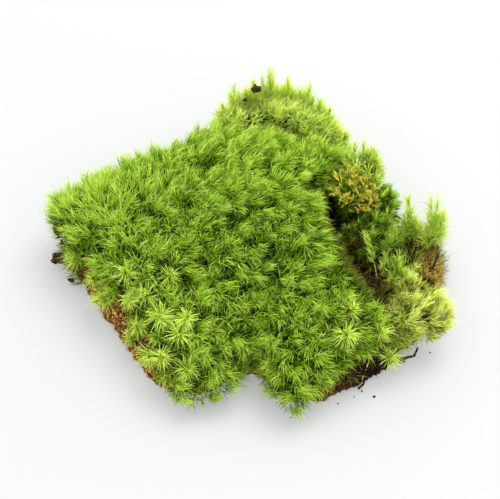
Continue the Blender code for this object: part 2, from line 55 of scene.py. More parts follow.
GOLDEN_ANGLE = math.radians(137.5)  # between one leaf and the next around a stem
LEAF_WIDTH = 0.42 * MM
MIDRIB_DEPTH = 0.3  # of the leaf's width
LEAF_RINGS = [(0.28, 1.0), (0.64, 0.62)]  # way along the leaf, and its share of the full width there
SHORT_RINGS = [(0.45, 1.0)]  # the same for leaves so short or hidden that one ring is enough
OPEN_HEAD = 0.8  # from this openness on, the leaves of a shoot arch over like a fountain
LOCK_RANGE = 0.3  # this far below it and further, they stand in a combed lock
LOCK_RADIUS = 2.1 * MM  # how far the leaves of a lock stand apart
BOW = 1.0 * MM  # how far the middle of a stem strays from the straight line
WIDEST = 1.3  # the widest angle between a leaf and its stem, in radians
DEAD_SHARE = 0.012  # of the leaves
TONE_STRIP = 0.006  # half the height of a leaf's strip in the map of tones
FLOOR_CLEARANCE = 0.4 * MM  # the least height of leaves and of the mat's rim
WELD = 0.01 * MM  # corners nearer than this are one

# How the turf grows: x, y, sweep to +X, sweep to +Y, openness, leaf length, tone, shoot spacing
TURF_GROWTH = [
    (-87, 17, -0.25, 0.50, 0.60, 9.5, 1.04, 3.5),
    (-70, 25, 0.10, 0.70, 0.60, 9.5, 0.90, 3.5),
    (-45, 38, 0.40, 0.65, 0.60, 9.0, 0.72, 3.5),
    (-52, 5, 0.60, 0.10, 0.60, 9.0, 0.80, 3.5),
    (-22, 38, 0.75, 0.30, 0.60, 8.5, 0.70, 3.5),
    (5, 40, 0.80, 0.15, 0.60, 8.5, 0.76, 3.5),
    (28, 36, 0.70, -0.10, 0.60, 8.5, 0.74, 3.5),
    (-12, 8, 0.75, -0.15, 0.60, 8.5, 0.70, 3.5),
    (18, 2, 0.75, -0.35, 0.60, 8.5, 0.62, 3.5),
    (32, -22, 0.75, -0.55, 0.60, 9.0, 0.64, 3.6),
    (0, -30, 0.50, -0.65, 0.60, 9.0, 0.70, 3.6),
    (-32, -30, 0.50, -0.30, 0.60, 8.5, 0.70, 3.6),
    (-60, -26, 0.35, -0.25, 0.65, 9.0, 0.78, 3.8),
    (-74, -12, -0.45, -0.35, 0.60, 9.5, 1.02, 3.6),
    (-80, 0, -0.55, -0.10, 0.60, 9.5, 1.02, 3.5),
    (-45, -50, 0.25, -0.35, 0.75, 9.0, 0.96, 4.0),
    (-28, -70, 0.60, -0.55, 0.60, 9.5, 2.15, 3.8),
    # The low tone of the next row is painted shade: the shadowed underside of the front left lobe by the
    # notch.
    (-10, -72, 0.50, -0.40, 0.60, 9.0, 0.30, 3.8),
    (8, -55, 0.10, -0.70, 0.65, 9.5, 0.82, 3.8),
    (18, -78, 0.00, -0.75, 0.65, 9.5, 0.88, 3.8),
    (45, -45, 0.50, -0.40, 0.75, 9.0, 0.78, 4.0),
    (56, -52, 0.55, -0.25, 0.75, 9.0, 0.74, 4.0),
    (47, -67, 0.30, -0.50, 0.70, 9.0, 0.38, 4.0),
]
TONE, SPACING = 4, 5  # the columns for these once x and y are left off
GROWTH_REACH = 13.0  # how far each of those places counts, in mm
# The turf's four pieces, by x and y of the shoots in them
TURF_PIECES = {
    "moss_turf_left": lambda x, y: (x < -30) & (y > -22),
    "moss_turf_back": lambda x, y: (x >= -30) & (y > 12),
    "moss_turf_middle": lambda x, y: (x >= -30) & (y <= 12) & (y > -27),
    "moss_turf_front": lambda x, y: ((x >= -30) & (y <= -27)) | ((x < -30) & (y <= -22)),
}


def linear(red, green, blue):
    """A colour from screen values of 0 to 255, as linear light."""
    screen = np.array([red, green, blue]) / 255
    light = np.where(screen > 0.04045, ((screen + 0.055) / 1.055) ** 2.4, screen / 12.92)
    return (*light.tolist(), 1.0)


def unit(vectors):
    return vectors / np.linalg.norm(vectors, axis=-1, keepdims=True)


def merged(node):
    """A node's corners and triangles, with its loose triangles joined where they meet."""
    bm = bmesh.new()
    bm.from_mesh(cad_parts[node].data)
    bmesh.ops.remove_doubles(bm, verts=bm.verts[:], dist=WELD)
    bmesh.ops.triangulate(bm, faces=bm.faces[:])
    joined = bpy.data.meshes.new(node + "_joined")
    bm.to_mesh(joined)
    bm.free()
    points = np.empty(3 * len(joined.vertices))
    joined.vertices.foreach_get("co", points)
    corners = np.empty(3 * len(joined.polygons), int)
    joined.loops.foreach_get("vertex_index", corners)
    bpy.data.meshes.remove(joined)
    return points.reshape(-1, 3), corners.reshape(-1, 3)


def shoots_of(node):
    """The shoot heads of a cushion, and the skin that is left when they are cut off.

    A head is a peak of three triangles, so its tip is a corner that three triangles share. The
    three corners around it make its foot, and its axis runs from the foot's middle to the tip."""
    points, faces = merged(node)
    is_tip = np.bincount(faces.ravel(), minlength=len(points)) == 3
    tip_corner = is_tip[faces]
    sides = faces[tip_corner.sum(axis=1) == 1]
    turned = np.argmax(is_tip[sides], axis=1)
    rows = np.arange(len(sides))
    tip = sides[rows, turned]
    first, second = sides[rows, (turned + 1) % 3], sides[rows, (turned + 2) % 3]
    order = np.argsort(tip, kind="stable")
    tip, first, second = tip[order][::3], first[order].reshape(-1, 3), second[order].reshape(-1, 3)
    foot = np.stack([first[:, 0], second[:, 0], first[:, 1] + first[:, 2] - second[:, 0]], axis=1)
    skin = np.concatenate([faces[~tip_corner.any(axis=1)], foot])
    middle = points[foot].mean(axis=1)
    shoots = {"foot": middle, "tip": points[tip], "axis": unit(points[tip] - middle)}
    return shoots, points, skin


def growth_at(places, rows, reach):
    """How the moss grows at places. Each row is x, y and then what holds near it. The growth is
    the mean of the rows, weighted by a Gaussian of their distance over the reach."""
    rows = np.asarray(rows, float)
    x, y = places[:, 0] / MM, places[:, 1] / MM
    squared = (x[:, None] - rows[:, 0]) ** 2 + (y[:, None] - rows[:, 1]) ** 2
    weight = np.exp(-(squared - squared.min(axis=-1, keepdims=True)) / (2 * reach**2))
    weight /= weight.sum(axis=-1, keepdims=True)
    return weight @ rows[:, 2:]


def spaced(shoots, least, seed):
    """Which shoots stay so that none stands nearer to another than its least spacing, in mm."""
    order = np.random.RandomState(seed).permutation(len(least))
    kept = []
    for i in order:
        away = np.linalg.norm(shoots["tip"][kept] - shoots["tip"][i], axis=1)
        if not kept or away.min() > least[i] * MM:
            kept.append(i)
    return np.sort(kept)


def picked(group, chosen):
    """Some of a group of shoots or leaves."""
    return {part: values[chosen] for part, values in group.items()}


def together(*groups):
    """Several groups of shoots or leaves as one."""
    return {part: np.concatenate([group[part] for group in groups]) for part in groups[0]}


def nowhere(places):
    return np.zeros(len(places), bool)


def grown(shoots, rows, reach, seed, bare=nowhere):
    """The shoots that stand, clear of each other and of bare ground, and how each one grows."""
    growth = growth_at(shoots["foot"], rows, reach)
    stands = spaced(shoots, growth[:, SPACING], seed)
    stands = stands[~bare(shoots["foot"][stands])]
    return picked(shoots, stands), growth[stands]


def leaves_on(
    shoots, growth, seed, count, width=LEAF_WIDTH, sunk=2.0 * MM, top=0.62, upright=0.0, lift=-0.12,
    youth=0.25, curl=0.46, size=1.0,
):
    """The leaves of many shoots at once.

    Leaf k of a shoot sits about k / count of the way up its stem, k golden angles around it. The
    stem ends the share top of a leaf's length below the shoot's tip. The leaf sets out at an
    angle to the stem that is wide below and narrow above, and bends outwards, up by the lift and
    towards the sweep of the shoot. In an open head it arches down instead. A closed shoot is a
    lock: its leaves stand apart on a disc and lean together at their tips. The youngest, at the
    top, have the highest tone, by youth. Each shoot has its own bow, height, size, openness and
    sweep, near those of the growth around, and each leaf its own curl. Smaller shoots have a
    smaller bow, rise and lock, by size."""
    random = np.random.RandomState(seed)
    sweep_x, sweep_y, openness, length, tone, _ = growth.T
    total = len(openness)
    counts = np.round(count * random.uniform(0.85, 1.15, total)).astype(int)
    shoot = np.repeat(np.arange(total), counts)
    rank = np.arange(len(shoot)) - np.repeat(np.cumsum(counts) - counts, counts)
    share = (rank + random.uniform(0, 1, len(shoot))) / counts[shoot]
    veer, force = random.normal(0, 0.7, total), random.uniform(0.4, 1.4, total)
    arching = np.maximum(openness - OPEN_HEAD, 0)[shoot]
    lock = np.clip((OPEN_HEAD - openness) / LOCK_RANGE, 0, 1)[shoot]
    openness = openness * random.uniform(0.75, 1.3, total)
    length = length * random.uniform(0.85, 1.15, total)
    rise = random.uniform(-2.0, 0.8, total) * size * MM
    sweep = np.stack([
        force * (sweep_x * np.cos(veer) - sweep_y * np.sin(veer)),
        force * (sweep_x * np.sin(veer) + sweep_y * np.cos(veer)),
        -0.2 * force * np.hypot(sweep_x, sweep_y),
    ], axis=1)
    axes = unit(shoots["axis"] + (0, 0, upright) + 0.35 * sweep + random.normal(0, 0.12, sweep.shape))
    axis = axes[shoot]
    side = unit(np.cross(axis, (0.31, 0.22, 0.93)))
    over = np.cross(axis, side)
    turn = rank * GOLDEN_ANGLE + random.uniform(0, 2 * math.pi, total)[shoot]
    turn += random.normal(0, 0.3, len(shoot))
    outward = np.cos(turn)[:, None] * side + np.sin(turn)[:, None] * over
    spread = (0.14 + 0.95 * (1 - share) ** 0.8) * np.minimum(openness[shoot], 1.0) * (1 - 0.4 * lock)
    spread = np.minimum(spread * random.uniform(0.7, 1.3, len(shoot)), WIDEST)[:, None]
    long = length[shoot] * MM * random.uniform(0.7, 1.1, len(shoot)) * (0.85 + 0.15 * share)
    low = shoots["foot"][shoot] - sunk * axis
    high = shoots["tip"][shoot] + (rise - top * length * MM)[shoot, None] * axis
    bend = (0.3 * openness[shoot] * (1 - lock) - 0.25 * lock + 0.5 * arching)[:, None] * outward
    bend += random.uniform(1.2, 2.6, len(shoot))[:, None] * sweep[shoot]
    bend += random.normal(0, curl, bend.shape)
    bend[:, 2] += lift - 2.2 * arching
    shade = tone[shoot] + random.normal(0, 0.07, total)[shoot] + random.normal(0, 0.2, len(shoot))
    shade += (youth + 0.5 * arching) * (share - 0.55) + (0.05 * rise / MM)[shoot]
    dead = random.uniform(0, 1, len(shoot)) < DEAD_SHARE
    shade[dead] = random.uniform(0.0, 0.15, dead.sum())
    apart = LOCK_RADIUS * size * lock * np.sqrt(random.uniform(0, 1, len(shoot)))
    bow = random.normal(0, BOW * size, (total, 3))[shoot] * np.sin(math.pi * share)[:, None]
    return {
        "base": low + share[:, None] * (high - low) + apart[:, None] * outward + bow,
        "start": np.cos(spread) * axis + np.sin(spread) * outward,
        "bend": bend,
        "facing": axis - outward,
        "length": long,
        "width": width * random.uniform(0.75, 1.2, len(shoot)),
        "tone": shade,
    }


def blades(name, leaves, finish, rings=LEAF_RINGS):
    """Leaves as one mesh of closed three-sided blades.

    The midline sets out along start and turns evenly towards start + bend. It begins in one
    point in the stem and ends in one point. At each ring between stand three corners: two edges,
    half the width to either side, and the midrib below. The map has the way along the leaf as U
    and its tone as V, so each leaf is a thin level strip in it."""
    start, bend = leaves["start"], leaves["bend"]
    count, last = len(start), 3 * len(rings) + 1
    half = leaves["width"][:, None] / 2
    corners = np.empty((count, last + 1, 3))
    spine, reached = leaves["base"], 0.0
    corners[:, 0] = spine
    for ring, (along, share) in enumerate(rings):
        middle_way = unit(start + bend * (reached + along) / 2)
        spine = spine + middle_way * (leaves["length"] * (along - reached))[:, None]
        reached = along
        way = unit(start + bend * along)
        side = unit(np.cross(way, leaves["facing"]))
        above = np.cross(side, way)
        corners[:, 3 * ring + 1] = spine + side * half * share
        corners[:, 3 * ring + 2] = spine - side * half * share
        corners[:, 3 * ring + 3] = spine - above * half * 2 * MIDRIB_DEPTH * share
    middle_way = unit(start + bend * (reached + 1) / 2)
    corners[:, last] = spine + middle_way * (leaves["length"] * (1 - reached))[:, None]
    corners[..., 2] = np.maximum(corners[..., 2], FLOOR_CLEARANCE)
    triangles = []
    for a, b in ((1, 2), (2, 3), (3, 1)):
        triangles.append((0, a, b))
        for step in range(0, last - 4, 3):
            triangles += [(a + step, b + step + 3, b + step), (a + step, a + step + 3, b + step + 3)]
        triangles.append((a + last - 4, last, b + last - 4))
    faces = (last + 1) * np.arange(count)[:, None, None] + np.array(triangles)
    along = np.concatenate([[0.0], np.repeat([way for way, _ in rings], 3), [1.0]])
    across = np.array([0, *(1, -1, 0) * len(rings), 0]) * TONE_STRIP
    tone = np.clip(leaves["tone"], 2 * TONE_STRIP, 1 - 2 * TONE_STRIP)
    map_v = tone[:, None] + across
    map_u = np.broadcast_to(along, map_v.shape)
    mapped = np.stack([map_u, map_v], axis=-1)[:, np.array(triangles)]
    return add_piece(name, corners.reshape(-1, 3), faces.reshape(-1, 3), finish, mapped)


def add_piece(name, points, faces, finish, mapped=None):
    """An object at the origin whose mesh has these corners and triangles, shaded smooth."""
    mesh = bpy.data.meshes.new(name)
    mesh.vertices.add(len(points))
    mesh.vertices.foreach_set("co", points.ravel())
    mesh.loops.add(3 * len(faces))
    mesh.loops.foreach_set("vertex_index", faces.ravel().astype(np.int32))
    mesh.polygons.add(len(faces))
    mesh.polygons.foreach_set("loop_start", np.arange(0, 3 * len(faces), 3, dtype=np.int32))
    mesh.update(calc_edges=True)
    if mapped is not None:
        mesh.uv_layers.new(name="OFBake").data.foreach_set("uv", mapped.ravel())
    mesh.shade_smooth()
    mesh.materials.append(finish)
    piece = bpy.data.objects.new(name, mesh)
    bpy.context.scene.collection.objects.link(piece)
    return piece


def settle_in(pieces, node=None):
    """Fixes pieces to the clump's one body, and hides the node that they replace."""
    for piece in pieces:
        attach(piece, "root")
        if node:
            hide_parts(node)


def feed(node, inputs):
    """Gives each of these inputs of a node its value, or a link where a socket is given."""
    for name, given in inputs.items():
        if isinstance(given, bpy.types.NodeSocket):
            node.id_data.links.new(given, node.inputs[name])
        else:
            node.inputs[name].default_value = given


def add_node(tree, kind, inputs, **settings):
    """Adds a node with these settings and inputs, and returns its outputs."""
    node = tree.nodes.new("ShaderNode" + kind)
    for setting, value in settings.items():
        setattr(node, setting, value)
    feed(node, inputs)
    return node.outputs


def mixed(tree, factor, first, second, way="MIX"):
    inputs = {"Factor": factor, "A": first, "B": second}
    return add_node(tree, "Mix", inputs, data_type="RGBA", blend_type=way)["Result"]


TINTS = ("Deep", "Bright", "Dead")


def leaf_tone_group():
    """Shared by all leaves: their colour and roughness from the map. The colour runs from the
    foot of the leaf to its tip, from deep to bright with its tone, and to dead at the lowest.
    A noise stretched along the leaf makes it lighter and darker, and more and less rough."""
    group = bpy.data.node_groups.new("leaf_tone", "ShaderNodeTree")
    for tint in TINTS:
        for end in (" foot", " tip"):
            group.interface.new_socket(tint + end, in_out="INPUT", socket_type="NodeSocketColor")
    group.interface.new_socket("Color", in_out="OUTPUT", socket_type="NodeSocketColor")
    group.interface.new_socket("Roughness", in_out="OUTPUT", socket_type="NodeSocketFloat")
    given = group.nodes.new("NodeGroupInput").outputs
    place = add_node(group, "TexCoord", {})["UV"]
    part = add_node(group, "SeparateXYZ", {"Vector": place})

    def smooth_step(source, low, high):
        inputs = {"Value": source, "From Min": low, "From Max": high}
        return add_node(group, "MapRange", inputs, interpolation_type="SMOOTHSTEP")["Result"]

    def between(source, low, high):
        return add_node(group, "MapRange", {"Value": source, "To Min": low, "To Max": high})["Result"]

    to_tip = smooth_step(part["X"], 0.05, 0.95)
    deep, bright, dead = [
        mixed(group, to_tip, given[tint + " foot"], given[tint + " tip"]) for tint in TINTS
    ]
    living = mixed(group, smooth_step(part["Y"], 0.2, 0.9), deep, bright)
    colour = mixed(group, smooth_step(part["Y"], 0.07, 0.24), dead, living)
    stretched = add_node(group, "Mapping", {"Vector": place, "Scale": (5.0, 350.0, 1.0)})["Vector"]
    noise = add_node(group, "TexNoise", {"Vector": stretched, "Scale": 1.0, "Detail": 3.0})["Fac"]
    feed(group.nodes.new("NodeGroupOutput"), {
        "Color": mixed(group, 1.0, colour, between(noise, 0.78, 1.22), "MULTIPLY"),
        "Roughness": between(noise, 0.42, 0.68),
    })
    return group


leaf_tone = leaf_tone_group()


def new_finish(name):
    """A new material, and its surface shader."""
    made = bpy.data.materials.new(name)
    made.use_nodes = True
    return made, made.node_tree.nodes["Principled BSDF"]


def leaf_finish(name, translucent, **tints):
    """A thin living leaf: a softly glossy surface that lets part of the light through. Each tint
    is given as two screen colours, at the foot and at the tip of the leaf."""
    made, shader = new_finish(name)
    tree = made.node_tree
    inputs = {}
    for tint, (foot, tip) in tints.items():
        inputs[tint.capitalize() + " foot"] = linear(*foot)
        inputs[tint.capitalize() + " tip"] = linear(*tip)
    tone = add_node(tree, "Group", inputs, node_tree=leaf_tone)
    feed(shader, {"Specular IOR Level": 0.1, "Base Color": tone["Color"], "Roughness": tone["Roughness"]})
    through = add_node(tree, "BsdfTranslucent", {"Color": tone["Color"]})["BSDF"]
    both = add_node(tree, "MixShader", {"Fac": translucent, 1: shader.outputs["BSDF"], 2: through})
    feed(tree.nodes["Material Output"], {"Surface": both["Shader"]})
    return made


broom_moss = leaf_finish(
    "broom_moss_leaf",
    0.5,
    deep=[(92, 136, 6), (158, 202, 30)],
    bright=[(176, 220, 30), (224, 242, 114)],
    dead=[(70, 48, 22), (158, 128, 76)],
)
light_broom_moss = leaf_finish(
    "light_broom_moss_leaf",
    0.5,
    deep=[(112, 146, 8), (178, 210, 44)],
    bright=[(204, 234, 52), (240, 250, 140)],
    dead=[(70, 48, 22), (158, 128, 76)],
)
# A darker copy of the moss leaf for the undergrowth among the shoots: painted shade, over the duller
# green of older leaves.
painted_shade_moss = leaf_finish(
    "painted_shade_moss_leaf",
    0.4,
    deep=[(36, 60, 2), (84, 124, 8)],
    bright=[(106, 150, 6), (168, 208, 40)],
    dead=[(14, 28, 6), (44, 66, 14)],
)


def finer(points, faces):
    """Each triangle parted in four at the middles of its edges."""
    edges = np.sort(faces[:, [0, 1, 1, 2, 2, 0]].reshape(-1, 2), axis=1)
    found, index = np.unique(edges, axis=0, return_inverse=True)
    middles = len(points) + index.reshape(-1, 3)
    (a, b, c), (ab, bc, ca) = faces.T, middles.T
    parts = [(a, ab, ca), (b, bc, ab), (c, ca, bc), (ab, bc, ca)]
    finer_faces = np.concatenate([np.stack(part, axis=1) for part in parts])
    return np.concatenate([points, points[found].mean(axis=1)]), finer_faces


def crosses(points, faces):
    """The normals of triangles, each as long as twice the triangle's area."""
    first, second, third = points[faces].transpose(1, 0, 2)
    return np.cross(second - first, third - first)


def normals_of(points, faces):
    """At each corner, the mean of the normals of the triangles around it, by their areas."""
    across = crosses(points, faces)
    total = np.zeros_like(points)
    for corner in range(3):
        np.add.at(total, faces[:, corner], across)
    return total / np.maximum(np.linalg.norm(total, axis=1, keepdims=True), 1e-12)


LATTICE = 32  # corners along each side of the lattice, after which its values come again
LATTICE_TURN, _ = np.linalg.qr(np.random.RandomState(0).normal(size=(3, 3)))


def unevenness(points, size, seed):
    """Smooth noise from -1 to 1 with lumps of that size: random values at the corners of a turned
    cubic lattice, blended inside each cube by the smooth step of the way across it."""
    table = np.random.RandomState(seed).uniform(-1, 1, (LATTICE, LATTICE, LATTICE))
    points = points @ LATTICE_TURN
    cell = np.floor(points / size).astype(int)
    part = points / size - cell
    part = part * part * (3 - 2 * part)
    total = np.zeros(len(points))
    for corner in np.ndindex(2, 2, 2):
        weight = np.prod(np.where(corner, part, 1 - part), axis=1)
        x, y, z = ((cell + corner) % LATTICE).T
        total += weight * table[x, y, z]
    return total


def lumps(points, coarse, fine, seed, fine_seed):
    """A relief of coarse and fine lumps, each given as their height and size in millimetres."""
    relief = coarse[0] * MM * unevenness(points, coarse[1] * MM, seed)
    return relief + fine[0] * MM * unevenness(points, fine[1] * MM, fine_seed)


def used(points, faces):
    """The corners that the triangles use, and the triangles with them counted anew."""
    kept, index = np.unique(faces, return_inverse=True)
    return points[kept], index.reshape(-1, 3)


def earth_finish(name, colours, size, bump, roughness, stops=(0.34, 0.68)):
    """Crumbly matter: three colours mixed by noise over the object, rough, with grains in its
    surface from a finer noise. The stops are the noise's values at the first and last colour."""
    made, shader = new_finish(name)
    tree = made.node_tree
    place = add_node(tree, "TexCoord", {})["Object"]
    blotches = {"Vector": place, "Scale": 1 / size, "Detail": 6.0, "Roughness": 0.65}
    grains = add_node(tree, "TexNoise", {"Vector": place, "Scale": 5 / size, "Detail": 4.0})["Fac"]
    ramp = tree.nodes.new("ShaderNodeValToRGB")
    feed(ramp, {"Fac": add_node(tree, "TexNoise", blotches)["Fac"]})
    ramp.color_ramp.elements[0].position = stops[0]
    ramp.color_ramp.elements[1].position = stops[1]
    ramp.color_ramp.elements.new(0.5)
    for stop, colour in zip(ramp.color_ramp.elements, colours):
        stop.color = linear(*colour)
    rough = {"Value": grains, "To Min": roughness - 0.1, "To Max": roughness + 0.1}
    relief = {"Height": grains, "Strength": bump, "Distance": size / 4}
    feed(shader, {
        "Specular IOR Level": 0.12,
        "Base Color": ramp.outputs["Color"],
        "Roughness": add_node(tree, "MapRange", rough)["Result"],
        "Normal": add_node(tree, "Bump", relief)["Normal"],
    })
    return made


# Near-black greens: the dull colour of old growth, darkened further as painted shade of the deep spaces
# between the shoots.
OLD_GROWTH_AND_SHADE_COLOURS = [(12, 20, 3), (32, 48, 6), (66, 86, 18)]
old_growth_and_shade = earth_finish("old_growth_and_shade", OLD_GROWTH_AND_SHADE_COLOURS, 3 * MM, 0.6, 0.9)


def core(name, points, skin, depth):
    """The old growth inside a cushion: its skin, drawn in along its normals and made lumpy."""
    points, skin = used(points, skin)
    points = points - depth * normals_of(points, skin)
    points, skin = finer(points, skin)
    relief = lumps(points, (0.7, 3.0), (0.35, 1.2), 3, 4)
    points = points + relief[:, None] * normals_of(points, skin)
    return add_piece(name, points, skin, old_growth_and_shade)


STEEPEST = -0.3  # nothing grows where a surface faces down more than this, as its normal's Z


def strewn(points, faces, each, random, lowest=STEEPEST):
    """Random places on triangles, one to so many square millimetres, and the normals there.
    Triangles that face further down than the lowest allowed slope get none."""
    first, second, third = points[faces].transpose(1, 0, 2)
    across = crosses(points, faces)
    area = np.linalg.norm(across, axis=1) / 2
    area[across[:, 2] / (2 * area) < lowest] = 0
    count = int(area.sum() / MM**2 / each)
    chosen = random.choice(len(faces), count, p=area / area.sum())
    u = np.sqrt(random.uniform(0, 1, (count, 1)))
    v = random.uniform(0, 1, (count, 1))
    place = first[chosen] * (1 - u) + second[chosen] * u * (1 - v) + third[chosen] * u * v
    return place, unit(across[chosen])


def undergrowth(
    points, faces, seed, each, tone, lean=(0, 0, 0), lengths=(5, 8), sunk=1.5, width=0.36 * MM,
    lowest=STEEPEST,
):
    """Short old leaves all over a surface, one to so many square millimetres: each stands along
    the normal there with a random lean, and curves over at random. The shortest and the longest
    length are given in millimetres, and so is how deep the feet are sunk."""
    random = np.random.RandomState(seed)
    place, normal = strewn(points, faces, each, random, lowest)
    count = len(place)
    return {
        "base": place - sunk * MM * normal,
        "start": unit(normal + random.normal(0, 0.45, normal.shape) + lean),
        "bend": random.normal(0, 0.6, normal.shape) + lean,
        "facing": random.normal(0, 1, normal.shape),
        "length": random.uniform(*lengths, count) * MM,
        "width": width * random.uniform(0.8, 1.2, count),
        "tone": np.clip(random.normal(tone, 0.12, count), 0.02, 1),
    }


# Heads at the left and front edges that stand free and open out like fountains: x, y and z of the
# heart, lean to +X and +Y, leaf length and tone
HEADS = [
    (-79, -9, 16.5, -0.5, -0.3, 10, 0.92),
    (-70, -20, 17, -0.4, -0.4, 10, 0.92),
    (-65.5, -29, 14, -0.4, -0.4, 10.5, 1.10),
    (-54.4, -37, 24, 0.0, -0.5, 10, 0.98),
    (-47, -38, 29, 0.1, -0.4, 9.5, 0.92),
    (-49, -47.5, 18.5, -0.1, -0.5, 10.5, 1.05),
    (-39.7, -50.4, 28, 0.0, -0.4, 10.5, 0.98),
    (-52.2, -46.5, 9.5, -0.4, -0.3, 7, 0.95),
    (-30.3, -58.4, 26, 0.1, -0.5, 10.5, 0.98),
    (-38, -64.3, 20, 0.0, -0.5, 10.5, 1.05),
    (-43, -61.5, 14.6, -0.3, -0.5, 9.5, 1.05),
    (-27.5, -51, 29, 0.1, -0.4, 10, 0.92),
    (-55.8, -26.9, 30.5, 0.1, -0.3, 9.5, 0.85),
    (-35.3, -30, 32.4, 0.2, -0.3, 9.5, 0.80),
    (61.6, -57.8, 10.3, 0.25, -0.7, 8.5, 1.05),
    (59.8, -45.6, 19.4, 0.3, -0.1, 10.5, 0.72),
    (44.8, -47.6, 29.5, 0.2, -0.2, 11, 0.85),
    (42.1, -58.6, 26.5, 0.1, -0.4, 11, 0.95),
    (67.9, -43.3, 20.6, 0.2, -0.3, 8.5, 1.05),
    (55.8, -55.2, 22.7, 0.4, -0.3, 10, 0.78),
    (57, -51, 12, 0.2, -0.5, 10.5, 0.60),
    (63.3, -50.3, 10.5, 0.5, -0.5, 10.5, 0.55),
    (66, -46, 11, 0.5, -0.3, 10.5, 0.40),
    (50.5, -54, 12.5, 0.1, -0.6, 10.5, 0.40),
    (-28, -70, 15.5, 0.3, -0.5, 10, 1.12),
    (-20, -74, 12.5, 0.7, -0.5, 10, 1.12),
]
HEAD_ROOM = 6.0  # no other shoot of the turf stands nearer to one of them, in mm
HEAD_STEM = 7.0 * MM
HEAD_SWEEP = 0.4  # how much its leaves sweep the way it leans
HEAD_OPENNESS = 1.15
HEAD_TONE = 0.82  # times the tone in its row
YOUNG_LEAVES = (0.85, 5.0, 0.95)  # openness, length and tone of the short ones in its middle
# Places where no shoot stands and the old growth shows, dark partly with painted shade: x, y and radius
GAPS = [
    (-45, 0, 3.0), (-36, -9, 3.4), (-66, -11, 3.0), (-39, -25, 3.2), (-29, -34, 3.4), (-21, -21, 3.0),
    (-46, -42, 3.0), (-16, -36, 3.2), (-21, 29, 3.0), (6, 23, 2.8), (1, 42, 2.6), (6, 31, 2.6),
    (-1, 2, 3.4), (-9, -4, 2.8), (-17, -10, 2.8), (15, -12, 2.8), (27, 22, 3.2), (34, 23, 5.0),
    (35, 12, 5.0), (34, 2, 4.0), (4, 60, 4.0), (11, 61, 4.5), (18, 60, 4.5), (24, 57, 4.0),
    (23, 51, 3.5), (-5, -16, 2.4), (9, -17, 2.4), (4, -27, 2.4), (12, -27, 3.0), (-2, -27, 2.4),
    (3, -33, 2.6), (-10, -28, 2.4), (32, -27, 2.8), (26, -30, 2.4), (-3, -37, 2.6), (-4, -52, 2.8),
    (22, -60, 2.8), (-13, -76, 3.2), (-8, -67, 2.8),
]
# Hollows at the left front edge where the duff is bare: x, y, half width and half depth
DUFF_WINDOWS = [(-58.5, -37, 6.5, 7), (-48, -54, 6, 8), (-75.5, -16, 5, 6)]
STALE = (-88, 0.5, 4.5, 7.5)  # a dead patch at the left edge, crusted with soil
BARE_SIZE = 3.6 * MM
BARE_BELOW = -0.66  # smaller gaps stand where a noise of that size is lower than this
# The turf's right flank over the gully has old leaves only: y, and x from which it begins
FLANK_Y, FLANK_X = (-41, -35, -20, -3, 8), (52, 42, 37, 32, 31)
FLANK_END = 25  # the y where it ends
GAP_PAINTED_SHADE = 0.34  # how much lower the tone of the undergrowth is in all of these, as painted shade
IN_STALE = 0.4  # and how much lower still in the dead patch
UNDER_TONE = 0.70  # of the undergrowth, where the shoots above have the same tone
TONE_PULL = 1.2  # how much it follows theirs


def within(places, oval):
    """Which places lie inside an oval of x, y, half width and half depth in millimetres."""
    x, y, half_width, half_depth = oval
    return np.hypot((places[:, 0] / MM - x) / half_width, (places[:, 1] / MM - y) / half_depth) < 1


def in_window(places):
    return np.any([within(places, oval) for oval in DUFF_WINDOWS], axis=0)


def open_ground(places):
    """Which places lie in a gap, a hollow, the dead patch or on the flank."""
    x, y = places[:, 0] / MM, places[:, 1] / MM
    gaps = np.min([np.hypot(x - at_x, y - at_y) - radius for at_x, at_y, radius in GAPS], axis=0) < 0
    flank = (x > np.interp(y, FLANK_Y, FLANK_X)) & (y > FLANK_Y[0]) & (y < FLANK_END)
    bare = within(places, STALE) | (unevenness(places, BARE_SIZE, 11) < BARE_BELOW)
    return gaps | flank | bare | in_window(places)


turf_shoots, turf_points, turf_skin = shoots_of("broom_moss_turf")
turf_shoots, turf_growth = grown(turf_shoots, TURF_GROWTH, GROWTH_REACH, 1, open_ground)
foot = turf_shoots["foot"] / MM
hearts = np.array(HEADS)
crowded = np.linalg.norm(foot[:, None] - hearts[:, :3], axis=2).min(axis=1) < HEAD_ROOM
for seed, (name, inside) in enumerate(TURF_PIECES.items(), 100):
    here = inside(foot[:, 0], foot[:, 1]) & ~crowded
    leaves = leaves_on(picked(turf_shoots, here), turf_growth[here], seed, 42, upright=0.35, curl=0.6)
    settle_in([blades(name, leaves, broom_moss)], "broom_moss_turf")


def star_leaves(shoots, growth, seed):
    """The leaves of open heads: long ones that arch over, and in the middle short bright ones."""
    young = growth * (1, 1, 0, 0, 0, 1) + (0, 0, *YOUNG_LEAVES, 0)
    long_ones = leaves_on(shoots, growth, seed, 76, sunk=0, upright=0.2, youth=0.4, curl=0.62)
    short_ones = leaves_on(shoots, young, seed + 1, 24, sunk=-2 * MM, size=0.3)
    return together(long_ones, short_ones)


